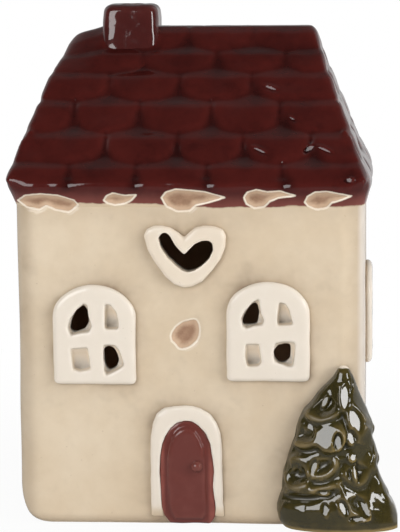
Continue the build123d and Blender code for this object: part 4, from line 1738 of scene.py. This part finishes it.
@dataclass
class Chimney:
    """The short square chimney with its flue."""

    node: str = "chimney"
    taper: float = 1.0
    corner: float = 4.0
    rim_round: float = 2.6
    flue_width: float = 7.7
    flue_mouth: float = 0.5
    lean: float = 0.03
    seat: float = 149.3
    grain: float = 0.4

    def __post_init__(self) -> None:
        """Reads the chimney's place from the frame."""
        self.box = Box.of(self.node)

    def stack(self, grow: float) -> Clay:
        """Gives the tapered stack, grown sideways by a margin."""
        low, high = self.box.low, self.box.high
        middle = self.box.middle
        lump = Clay.block((low.x - grow, low.y - grow, self.seat), (high.x + grow, high.y + grow, high.z))
        size = self.box.size
        shares = (1 - 2 * self.taper / size.x, 1 - 2 * self.taper / size.y)
        lump.narrow(high.z, shares, (middle.x, middle.y))
        return lump.round_uprights(self.corner)

    def flue(self) -> Clay:
        """Gives the flue's shape."""
        half = self.flue_width / 2
        middle = self.box.middle
        lump = Clay.block(
            (middle.x - half, middle.y - half, self.seat - 9), (middle.x + half, middle.y + half, self.box.high.z + 4)
        )
        return lump.round_uprights(2.0)

    def mouth(self) -> Clay:
        """Gives the shape that widens the flue's upper end."""
        middle, top = self.box.middle, self.box.high.z
        wide = self.flue_width / 2 + self.flue_mouth
        lump = Clay.block((middle.x - wide, middle.y - wide, top - 2), (middle.x + wide, middle.y + wide, top + 2))
        return lump.narrow(top - 2, (0.55, 0.55), (middle.x, middle.y))

    def build(self) -> Piece:
        """Makes and dresses the chimney."""
        lump = self.stack(0)
        lump.round_level(self.box.high.z, self.rim_round)
        lump.fuse(self.grain, 2).carve(self.flue(), self.mouth()).fuse(self.grain, 4)
        top, front = self.box.high.z, self.box.low.y
        for vert in lump.bm.verts:
            vert.co.z -= self.lean * (vert.co.y - front) * min(1.0, max(0.0, (vert.co.z - top + 6) / 6))
        lump.ripple(0.14, 3.2, 9.1).within(self.box)
        piece = Piece("chimney_look", lump, Body.HOUSE, "red_glaze", (self.node,))
        piece.mark_breaks(14, 0.8)
        return piece.dress(CHIMNEY_GLAZE)


KEY_FACING = -17.0
BOX_FACING = 28.0


@dataclass(frozen=True)
class Fold:
    """One soft form on the fir's skin, along a path of turns about the trunk and heights.

    A lip stands out along the path, a bowl lies over it and a hollow under it. All depths are in millimetres.
    """

    path: Outline
    lip: float = 1.2
    bowl: float = 0.0
    bowl_width: float = 3.0
    under: float = 0.0
    lip_width: float = 1.9

    def reach(self, turns: np.ndarray, heights: np.ndarray, girths: np.ndarray) -> np.ndarray:
        """Gives how far the form moves the skin.

        Args:
            turns: Where round the trunk the points lie, in degrees from the front towards the right.
            heights: Their heights.
            girths: The skin's radius of turn at them.

        Returns:
            The way out of the plain skin.
        """
        path = np.array(self.path)
        for _ in range(2):
            cuts = np.stack((0.75 * path[:-1] + 0.25 * path[1:], 0.25 * path[:-1] + 0.75 * path[1:]), 1)
            path = np.concatenate((path[:1], cuts.reshape(-1, 2), path[-1:]))
        nearest = np.full(len(turns), 1e3)
        side = np.ones(len(turns))
        along = np.zeros(len(turns))
        count = len(path) - 1
        for step, (start, end) in enumerate(zip(path, path[1:])):
            scale = np.radians(1.0) * girths
            from_start = np.stack(((turns - start[0]) * scale, heights - start[1]))
            way = np.stack(((end[0] - start[0]) * scale, np.full(len(turns), end[1] - start[1])))
            share = np.clip((from_start * way).sum(0) / (way * way).sum(0), 0, 1)
            span = np.linalg.norm(from_start - share * way, axis=0)
            closer = span < nearest
            nearest = np.where(closer, span, nearest)
            over = way[0] * from_start[1] - way[1] * from_start[0]
            side = np.where(closer, np.sign(over), side)
            along = np.where(closer, (step + share) / count, along)
        away = nearest * side
        fade = np.clip(4 * np.minimum(along, 1 - along) + 0.25, 0, 1)
        out = self.lip * np.exp(-((away / self.lip_width) ** 2))
        out -= self.bowl * np.exp(-(((away - self.bowl_width - 0.6) / self.bowl_width) ** 2))
        out -= self.under * np.exp(-(((away + 2.0) / 1.5) ** 2))
        return out * fade


@dataclass(frozen=True)
class Swell:
    """A round swelling on the fir's skin, or a dent where its height is below 0."""

    turn: float
    z: float
    half_width: float
    half_height: float
    height: float

    def reach(self, turns: np.ndarray, heights: np.ndarray, girths: np.ndarray) -> np.ndarray:
        """Gives how far the swelling moves the skin at turns and heights."""
        across = np.radians(turns - self.turn) * girths / self.half_width
        above = (heights - self.z) / self.half_height
        return self.height * np.exp(-(across**2) - above**2)


@dataclass(frozen=True)
class Flat:
    """A flattened spot on the fir's skin that faces a given way.

    Its place is a turn about the trunk and a height; its facing is a turn and a tilt above level, in degrees.
    """

    turn: float
    z: float
    half_width: float
    half_height: float
    facing: float
    tilt: float = 18.0
    lift: float = 0.0

    def share(self, turns: np.ndarray, heights: np.ndarray, girths: np.ndarray) -> np.ndarray:
        """Gives how far the spot takes hold of the skin, from 0 to 1."""
        across = np.radians(turns - self.turn) * girths / self.half_width
        hold = np.clip((1.5 - np.hypot(across, (heights - self.z) / self.half_height)) / 0.7, 0, 1)
        return hold * hold * (3 - 2 * hold)


@dataclass
class FirTree:
    """The little fir of scooped and folded boughs at the house's right front corner."""

    walls: Clay
    node: str = "fir_tree"
    half_width: Profile = Profile(
        (
            (0, 18.6),
            (1, 19.3),
            (2.6, 19.8),
            (6, 19.8),
            (8, 19.4),
            (10, 18.5),
            (13, 17.2),
            (16, 16.7),
            (19, 16.0),
            (22, 15.2),
            (25, 14.7),
            (28, 13.9),
            (31, 13.0),
            (34, 12.7),
            (37, 11.9),
            (40, 10.6),
            (43, 8.6),
            (46, 6.8),
            (49, 4.8),
            (51, 3.5),
            (53, 2.4),
            (54.2, 1.7),
            (54.9, 0.9),
        )
    )
    front: Profile = Profile(
        ((0, 9.6), (3, 10.5), (8, 10.4), (13, 9.6), (25, 9.0), (34, 8.6), (40, 7.8), (46, 5.6), (51, 3.4), (54.9, 0.9))
    )
    back: Profile = Profile(((0, 29.0), (8, 31.0), (25, 23.5), (40, 15.5), (46, 9.0), (51, 3.5), (54.9, 0.9)))
    middle_x: Profile = Profile(
        ((0, 50.0), (3, 48.9), (6, 48.2), (10, 47.5), (19, 46.6), (28, 47.3), (40, 47.9), (46, 48.8), (51, 50.4), (55, 50.5))
    )
    middle_y: Profile = Profile(((0, -46.5), (45, -46.5), (50, -47.2), (53, -48.2)))
    folds: tuple[Fold, ...] = (
        Fold(((-60, 39.5), (-36, 38.0), (-18, 37.8), (-2, 39.2), (13, 41.8)), 1.3, 2.2, 4.2, 1.2),
        Fold(((8, 50.0), (11, 47.5), (25, 43.5), (35, 39.8), (48, 36.5)), 1.2, lip_width=2.6),
        Fold(((48, 36.5), (39, 33.2), (32, 30.0)), 0.9, lip_width=2.2),
        Fold(((14, 42.2), (20, 37.2), (21, 32.2), (19, 28.0)), -1.5, lip_width=2.0),
        Fold(((-69, 29.5), (-48, 28.8), (-33, 29.5), (-20, 31.2)), 1.3, 1.5, 2.6, 1.3),
        Fold(((-68, 18.2), (-57, 15.8), (-42, 15.2), (-27, 16.8)), 1.2, 2.2, 2.4, 0.7),
        Fold(((-67, 22.2), (-49, 25.2), (-33, 22.5), (-26, 19.0)), 0.9, lip_width=1.8),
        Fold(((-25, 19.5), (-15, 18.8), (-3, 20.0), (4, 22.2), (4, 25.0)), 1.3, 1.7, 2.8, 1.2),
        Fold(((15, 20.8), (21, 17.8), (32, 16.2), (43, 17.5), (53, 21.5)), 0.8, 2.2, 3.4, 0.8),
        Fold(((-73, 13.2), (-44, 13.2), (-22, 14.0), (-7, 15.5), (5, 16.5)), 1.2, 0.0, 1.0, 1.3),
        Fold(((14, 12.2), (15, 8.5), (21, 6.5), (29, 6.5), (40, 11.2)), 0.7, 2.0, 3.0, 0.0),
        Fold(((61, 27.0), (63, 21.5), (68, 14.5), (74, 9.0)), 1.0, lip_width=2.4),
        Fold(((10, 26.0), (11, 17.8), (7, 10.8)), 0.6, lip_width=1.8),
        Fold(((84, 35.0), (100, 32.0), (116, 35.0)), 0.7, 0.9, 3.0, 0.6, 2.0),
        Fold(((120, 35.0), (136, 32.0), (152, 35.0)), 0.7, 0.9, 3.0, 0.6, 2.0),
        Fold(((80, 25.0), (98, 22.0), (114, 25.0)), 0.7, 0.9, 3.0, 0.6, 2.0),
        Fold(((118, 25.0), (134, 22.0), (150, 25.0)), 0.7, 0.9, 3.0, 0.6, 2.0),
        Fold(((84, 14.0), (100, 11.0), (116, 14.0)), 0.7, 1.0, 3.2, 0.6, 2.0),
        Fold(((120, 14.0), (136, 11.0), (152, 14.0)), 0.7, 1.0, 3.2, 0.6, 2.0),
    )
    swells: tuple[Swell, ...] = (
        Swell(-2, 32.5, 6.5, 4.0, 1.4),
        Swell(-29, 43.5, 3.0, 5.0, -0.8),
        Swell(34, 38.0, 5.0, 4.0, 0.8),
        Swell(-36, 11.0, 6.0, 1.8, -0.7),
        Swell(57, 31.0, 4.0, 4.0, 0.6),
    )
    flats: tuple[Flat, ...] = (
        Flat(-6, 32.4, 4.2, 4.3, KEY_FACING, lift=1.2),
        Flat(6, 31.0, 1.2, 2.6, KEY_FACING, lift=0.6),
        Flat(17, 45.0, 1.6, 4.0, BOX_FACING, lift=0.3),
        Flat(32, 37.6, 2.2, 3.8, BOX_FACING, lift=0.6),
        Flat(25, 32.0, 1.4, 2.4, BOX_FACING, lift=0.3),
        Flat(-31, 43.3, 1.2, 2.0, KEY_FACING, lift=-0.8),
        Flat(-23, 22.2, 1.2, 2.0, KEY_FACING, lift=-0.5),
        Flat(-10, 13.8, 2.0, 1.0, KEY_FACING, lift=0.2),
        Flat(-9, 8.0, 1.0, 2.2, KEY_FACING, lift=-0.2),
        Flat(-34, 8.3, 1.0, 1.0, KEY_FACING, lift=-0.3),
        Flat(26, 25.4, 1.4, 1.5, BOX_FACING, lift=0.3),
        Flat(29, 20.2, 1.0, 2.6, BOX_FACING, lift=0.1),
        Flat(8.5, 8.8, 1.5, 2.4, BOX_FACING, lift=-0.2),
        Flat(32, 8.2, 0.9, 2.6, KEY_FACING, lift=-0.2),
        Flat(22, 5.2, 2.6, 0.9, KEY_FACING, lift=0.2),
    )
    steps: int = 130
    turns: int = 320
    most: float = 2.4

    def skin(self) -> Clay:
        """Gives the fir as a spun shape whose skin is moved to its folds and swellings."""
        top = self.half_width.stops[-1][0]
        profile = [(0.0, 0.0)] + [(1.0, top * step / self.steps) for step in range(self.steps + 1)] + [(0.0, top + 0.2)]
        lump = Clay.turned(profile, (0, 0, 0), self.turns)
        verts = list(lump.bm.verts)
        places = np.array([vert.co for vert in verts])
        heights = places[:, 2]
        turns = np.arctan2(places[:, 0], -places[:, 1])
        shares = np.linalg.norm(places[:, :2], axis=1)
        wide = self.half_width.at(heights)
        deep = np.where(np.cos(turns) > 0, self.front.at(heights), self.back.at(heights))
        radii = np.hypot(wide * np.cos(turns), deep * np.sin(turns))
        out = sum(form.reach(np.degrees(turns), heights, radii) for form in self.folds + self.swells)
        for flat in self.flats:
            hold = flat.share(np.degrees(turns), heights, radii)
            out = out + hold * (self.plane(flat, turns, heights, wide, deep) - out)
        out = np.clip(out, -self.most, self.most) * np.clip(wide / 5, 0, 1)
        across = self.middle_x.at(heights) + shares * np.maximum(wide + out, 0.3) * np.sin(turns)
        along = self.middle_y.at(heights) - shares * np.maximum(deep + out, 0.3) * np.cos(turns)
        for vert, x, y in zip(verts, across, along):
            vert.co.x, vert.co.y = x, y
        lump.outwards()
        return lump

    def plane(self, flat: Flat, turns: np.ndarray, heights: np.ndarray, wide: np.ndarray, deep: np.ndarray) -> np.ndarray:
        """Gives how far points must move out of the plain skin to lie in the plane of a flat spot.

        Args:
            flat: The spot.
            turns: Where round the trunk the points lie, in radians.
            heights: Their heights.
            wide: The skin's half width at them.
            deep: Its depth at them.

        Returns:
            The way out.
        """
        turn, facing, tilt = (math.radians(angle) for angle in (flat.turn, flat.facing, flat.tilt))
        way = (math.sin(facing) * math.cos(tilt), -math.cos(facing) * math.cos(tilt), math.sin(tilt))
        here_x = self.middle_x.at(flat.z) + (self.half_width.at(flat.z) + flat.lift) * math.sin(turn)
        here_y = self.middle_y.at(flat.z) - (self.front.at(flat.z) + flat.lift) * math.cos(turn)
        off_x = self.middle_x.at(heights) + wide * np.sin(turns) - here_x
        off_y = self.middle_y.at(heights) - deep * np.cos(turns) - here_y
        short = off_x * way[0] + off_y * way[1] + (heights - flat.z) * way[2]
        return -short / np.maximum(np.sin(turns) * way[0] - np.cos(turns) * way[1], 0.3)

    def shape(self) -> Clay:
        """Gives the fir, cut to fit the house's corner."""
        lump = self.skin().wipe(1)
        lump.ripple(0.14, 7.0, 2.2).within(Box.of(self.node))
        return lump.carve(self.walls)

    def mark_flats(self, piece: Piece) -> None:
        """Stores where the flat spots lie, from 0 off them to 1 on them."""
        places = piece.points()
        heights = places[:, 2]
        wide, deep = self.half_width.at(heights), self.front.at(heights)
        turns = np.arctan2((places[:, 0] - self.middle_x.at(heights)) / wide, (self.middle_y.at(heights) - places[:, 1]) / deep)
        radii = np.hypot(wide * np.cos(turns), deep * np.sin(turns))
        piece.store("flat", np.max([flat.share(np.degrees(turns), heights, radii) for flat in self.flats], 0))

    def build(self) -> BVHTree:
        """Makes and dresses the fir and gives its search tree."""
        lump = self.shape()
        near = lump.tree()
        piece = Piece("fir_tree_look", lump, Body.HOUSE, "olive_glaze", (self.node,))
        piece.mark_breaks(14, 0.8)
        self.mark_flats(piece)
        piece.dress(OLIVE_GLAZE)
        return near


@dataclass
class Tealight:
    """The tealight: aluminium cup, wax, cotton wick and its steel foot."""

    wall: float = 0.5
    rim: float = 0.45

    def cup(self) -> Clay:
        """Gives the drawn cup with a rolled rim."""
        box = Box.of("tealight_cup")
        radius, height = box.size.x / 2, box.size.z
        inner = radius - self.wall
        profile = [
            (0, 0.5),
            (radius - 4.5, 0.5),
            (radius - 3.9, 0),
            (radius - 1.4, 0),
            (radius - 0.9, 0.5),
            (radius - 0.55, height - 1.3),
            (radius - 0.1, height - 0.9),
            (radius, height - self.rim),
            (radius - 0.2, height),
            (inner - 0.05, height - 0.1),
            (inner - 0.15, height - 1.2),
            (inner - 0.6, 1.0),
            (0, 1.0),
        ]
        return Clay.turned(profile, (box.middle.x, box.middle.y, box.low.z))

    def wax(self) -> Clay:
        """Gives the wax with a shallow rise to its rim and to the wick."""
        box = Box.of("tealight_wax")
        radius, height = box.size.x / 2 - 0.45, box.size.z
        profile = [
            (0, 0.1),
            (radius - 0.8, 0.1),
            (radius - 0.2, height - 1.0),
            (radius, height),
            (radius - 0.5, height - 0.25),
            (radius * 0.6, height - 0.5),
            (2.6, height - 0.5),
            (1.2, height - 0.15),
            (0, height - 0.1),
        ]
        return Clay.turned(profile, (box.middle.x, box.middle.y, box.low.z))

    def wick(self) -> Clay:
        """Gives the wick with a frayed tip."""
        box = Box.of("tealight_wick")
        radius, height = box.size.x / 2, box.size.z
        profile = [(0, 0), (radius * 0.9, 0), (radius * 0.9, height - 1), (radius, height - 0.4), (radius * 0.5, height), (0, height)]
        lump = Clay.turned(profile, (box.middle.x, box.middle.y, box.low.z))
        return lump

    def sustainer(self) -> Clay:
        """Gives the wick's steel foot with its collar."""
        box = Box.of("wick_sustainer")
        radius, height = box.size.x / 2, box.size.z
        profile = [(0, 0), (radius, 0), (radius, 0.4), (2.1, 0.4), (1.7, 0.8), (1.6, height), (0, height)]
        return Clay.turned(profile, (box.middle.x, box.middle.y, box.low.z))

    def build(self) -> None:
        """Makes and dresses the tealight's pieces."""
        parts = (
            ("tealight_cup", self.cup(), CUP_METAL, "cup_aluminium"),
            ("tealight_wax", self.wax(), WAX, "wax"),
            ("tealight_wick", self.wick(), COTTON, "wick_cotton"),
            ("wick_sustainer", self.sustainer(), STEEL, "sustainer_steel"),
        )
        for node, lump, finish, slot in parts:
            Piece(node + "_look", lump, Body.TEALIGHT, slot, (node,)).dress(finish)


@dataclass(frozen=True)
class Camera:
    """The camera at the photograph's viewing angle."""

    spot: Point = (64.0, -886.6, 231.7)
    target: Point = (0.3, 0.0, 79.5)
    focal: float = 2614.0
    roll: float = -0.5
    sensor: float = 36.0

    def build(self) -> None:
        """Makes the scene's camera."""
        data = bpy.data.cameras.new("camera")
        data.sensor_width = self.sensor
        data.lens = self.focal * self.sensor / max(IMAGE_WIDTH, IMAGE_HEIGHT)
        data.clip_start = 0.01
        thing = bpy.data.objects.new("camera", data)
        ahead = (Vector(self.target) - Vector(self.spot)).normalized()
        right = ahead.cross(Vector((0, 0, 1))).normalized()
        above = right.cross(ahead)
        angle = math.radians(self.roll)
        right, above = right * math.cos(angle) + above * math.sin(angle), above * math.cos(angle) - right * math.sin(angle)
        place = Matrix((right, above, -ahead)).transposed().to_4x4()
        place.translation = Vector(self.spot) * MM
        thing.matrix_world = place
        bpy.context.scene.collection.objects.link(thing)
        bpy.context.scene.camera = thing


@dataclass(frozen=True)
class Lamp:
    """A studio lamp with a soft front that looks at the house."""

    name: str
    spot: Point
    size: tuple[float, float]
    power: float
    mirrored: bool = True

    def build(self) -> None:
        """Hangs the lamp."""
        data = bpy.data.lights.new(self.name, "AREA")
        data.shape = "RECTANGLE"
        data.size, data.size_y = (length * MM for length in self.size)
        data.energy = self.power
        thing = bpy.data.objects.new(self.name, data)
        thing.location = Vector(self.spot) * MM
        thing.rotation_euler = (Vector((0, 0, 80)) - Vector(self.spot)).to_track_quat("-Z", "Y").to_euler()
        thing.visible_glossy = self.mirrored
        bpy.context.scene.collection.objects.link(thing)


@dataclass
class Studio:
    """The pale floor, the white surroundings and the lamps."""

    lamps: tuple[Lamp, ...] = (
        Lamp("key_lamp", (-466, -746, 350), (620, 520), 4.5),
        Lamp("fill_lamp", (900, -260, 300), (460, 460), 4.3, False),
        Lamp("back_lamp", (-420, 820, 420), (520, 520), 3.4, False),
        Lamp("right_box", (738, -513, 300), (200, 380), 1.9),
    )
    ambient: float = 0.2
    backdrop: float = 0.3
    overhead: float = 0.16
    front: float = 0.04
    sides: float = 0.7
    table: float = 0.3
    board: float = 0.74
    floor_white: float = 0.94

    def world(self) -> None:
        """Makes surroundings that the camera sees white."""
        made = bpy.data.worlds.new("studio")
        made.use_nodes = True
        tree = made.node_tree
        tree.nodes.clear()
        recipe = Recipe.__new__(Recipe)
        recipe.tree = tree
        path = recipe.node("ShaderNodeLightPath")
        coords = recipe.node("ShaderNodeTexCoord")
        axes = recipe.node("ShaderNodeSeparateXYZ", {}, {0: coords.outputs["Generated"]}).outputs
        across, ahead, above = (Value(recipe, axis) for axis in axes)
        seen = Value(recipe, path.outputs["Is Camera Ray"])
        glossy = Value(recipe, path.outputs["Is Glossy Ray"])
        room = self.front + (self.backdrop - self.front) * ahead.ease(-0.1, 0.5)
        room = room + (self.overhead - room) * above.ease(0.35, 0.9) * ahead.ease(-0.3, 0.4)
        room = room + (self.sides - room) * abs(across).ease(0.25, 0.75) * ahead.ease(0.0, 0.5)
        room = room + (self.table - room) * above.ease(-0.02, -0.25)
        behind_right = across.ease(0.02, 0.14) * ahead.ease(0.7, 0.9) * above.ease(0.16, 0.02)
        room = room + (self.board - room) * behind_right
        strength = seen + (1 - seen) * (glossy * room + (1 - glossy) * self.ambient)
        light = recipe.node("ShaderNodeBackground", {}, {"Color": (1.0, 1.0, 1.0), "Strength": strength})
        recipe.node("ShaderNodeOutputWorld", {}, {"Surface": light.outputs[0]})
        bpy.context.scene.world = made

    def floor(self) -> None:
        """Lays the floor, white to the camera apart from the shadow."""
        lump = Clay()
        bmesh.ops.create_grid(lump.bm, x_segments=1, y_segments=1, size=6.0)
        mesh = bpy.data.meshes.new("floor")
        lump.bm.to_mesh(mesh)
        thing = bpy.data.objects.new("floor", mesh)
        bpy.context.scene.collection.objects.link(thing)
        recipe = Recipe("floor")
        paper = recipe.node("ShaderNodeBsdfDiffuse", {}, {"Color": (0.88, 0.88, 0.88)})
        white = recipe.node("ShaderNodeEmission", {}, {"Color": (1.0, 1.0, 1.0), "Strength": 1.0})
        path = recipe.node("ShaderNodeLightPath").outputs
        seen = Value(recipe, path["Is Camera Ray"]) + Value(recipe, path["Is Transmission Ray"])
        far = (recipe.x * recipe.x + recipe.y * recipe.y).root().ease(60, 260)
        share = seen.least(1) * (self.floor_white + (1 - self.floor_white) * far)
        mixed = recipe.node("ShaderNodeMixShader", {}, {0: share, 1: paper.outputs[0], 2: white.outputs[0]})
        recipe.node("ShaderNodeOutputMaterial", {}, {"Surface": mixed.outputs[0]})
        mesh.materials.append(recipe.material)
        thing.visible_glossy = False

    def build(self) -> None:
        """Sets up the studio."""
        bpy.context.scene.view_settings.view_transform = "Standard"
        self.world()
        self.floor()
        for lamp in self.lamps:
            lamp.build()


FRONT = WallFace((1, 0, 0), (0, -1, 0), 46.5)
RIGHT = WallFace((0, 1, 0), (1, 0, 0), 57.5)
LEFT = WallFace((0, -1, 0), (-1, 0, 0), 57.5)

LEFT_PANES: tuple[Outline, ...] = (
    (
        (-3.1, 28.2),
        (-1.7, 27.5),
        (-1.5, 23.1),
        (-0.3, 19.5),
        (-1.3, 17.4),
        (-5.4, 16.8),
        (-8.2, 16.0),
        (-9.2, 19.2),
        (-8.6, 21.9),
        (-5.8, 25.8),
    ),
    ((3.5, 27.8), (5.7, 27.6), (7.6, 24.8), (8.3, 20.9), (8.3, 18.4), (3.4, 18.3), (3.3, 23.1)),
    ((-8.3, 12.8), (-1.7, 13.2), (-1.3, 9.2), (-1.0, 4.9), (-4.8, 4.1), (-7.4, 4.8), (-7.8, 8.6)),
    ((2.6, 14.2), (6.9, 14.1), (8.5, 12.0), (10.2, 6.5), (8.6, 5.2), (3.9, 2.8), (3.0, 3.9), (2.8, 10.9)),
)
LEFT_HOLES: tuple[Outline, ...] = (
    (
        (-3.4, 26.7),
        (-2.4, 25.4),
        (-1.8, 22.4),
        (-2.0, 20.4),
        (-3.3, 18.4),
        (-6.3, 17.4),
        (-7.8, 17.9),
        (-8.1, 19.4),
        (-7.5, 22.1),
        (-5.9, 24.8),
    ),
    (
        (3.1, 12.1),
        (4.9, 13.0),
        (6.5, 12.0),
        (7.4, 9.9),
        (7.8, 8.0),
        (7.1, 5.9),
        (5.8, 4.9),
        (4.6, 4.6),
        (3.5, 6.0),
        (3.1, 8.5),
    ),
)
RIGHT_PANES: tuple[Outline, ...] = (
    (
        (-2.9, 28.6),
        (-2.4, 27.9),
        (-2.0, 23.2),
        (-0.8, 20.5),
        (-1.2, 18.8),
        (-4.7, 18.3),
        (-7.2, 17.3),
        (-8.5, 18.2),
        (-9.2, 21.0),
        (-7.9, 24.0),
        (-5.5, 26.8),
    ),
    ((3.4, 27.4), (5.9, 26.6), (7.2, 24.4), (7.8, 21.6), (8.6, 18.9), (2.9, 18.6), (2.9, 22.2)),
    ((-7.7, 13.3), (-2.6, 13.3), (-2.3, 9.7), (-1.8, 6.4), (-2.9, 5.0), (-7.0, 4.9), (-7.8, 8.5)),
    (
        (1.8, 13.6),
        (5.0, 14.2),
        (9.1, 14.1),
        (9.5, 12.8),
        (9.1, 8.9),
        (8.5, 5.1),
        (6.6, 4.8),
        (4.2, 5.9),
        (1.7, 6.7),
        (1.4, 10.0),
    ),
)
RIGHT_HOLES: tuple[Outline, ...] = (
    (
        (-4.6, 26.4),
        (-3.4, 25.8),
        (-2.9, 23.1),
        (-3.4, 20.1),
        (-3.9, 19.1),
        (-8.3, 18.8),
        (-8.5, 20.3),
        (-7.7, 22.5),
        (-6.3, 24.7),
    ),
    (
        (1.7, 10.4),
        (3.4, 12.3),
        (5.5, 12.8),
        (7.2, 12.6),
        (7.4, 11.0),
        (7.2, 7.8),
        (6.1, 6.6),
        (4.7, 6.1),
        (3.1, 6.5),
        (2.0, 8.0),
    ),
)


def main() -> None:
    """Builds the house, its tealight and the studio."""
    logging.basicConfig(level=logging.INFO, format="%(name)s %(message)s")
    Camera().build()
    Studio().build()
    windows = [
        Window("front_window_left", FRONT, LEFT_PANES, LEFT_HOLES),
        Window("front_window_right", FRONT, RIGHT_PANES, RIGHT_HOLES),
        Window("side_window_right", RIGHT, LEFT_PANES),
        Window("side_window_left", LEFT, RIGHT_PANES),
    ]
    heart = Heart(FRONT)
    door = Door(FRONT)
    openings = [window.opening() for window in windows] + [heart.opening()]
    reliefs = [window.build()[1] for window in windows] + [heart.build()[1]] + door.build()
    corner = Clay.block((-60, -46.4, -20), (57.4, 60, 200))
    reliefs.append(FirTree(corner).build())
    Walls(openings, reliefs).build()
    chimney = Chimney()
    Roof().build(chimney.stack(-0.3), chimney.flue())
    chimney.build()
    Tealight().build()


if __name__ == "__main__":
    main()
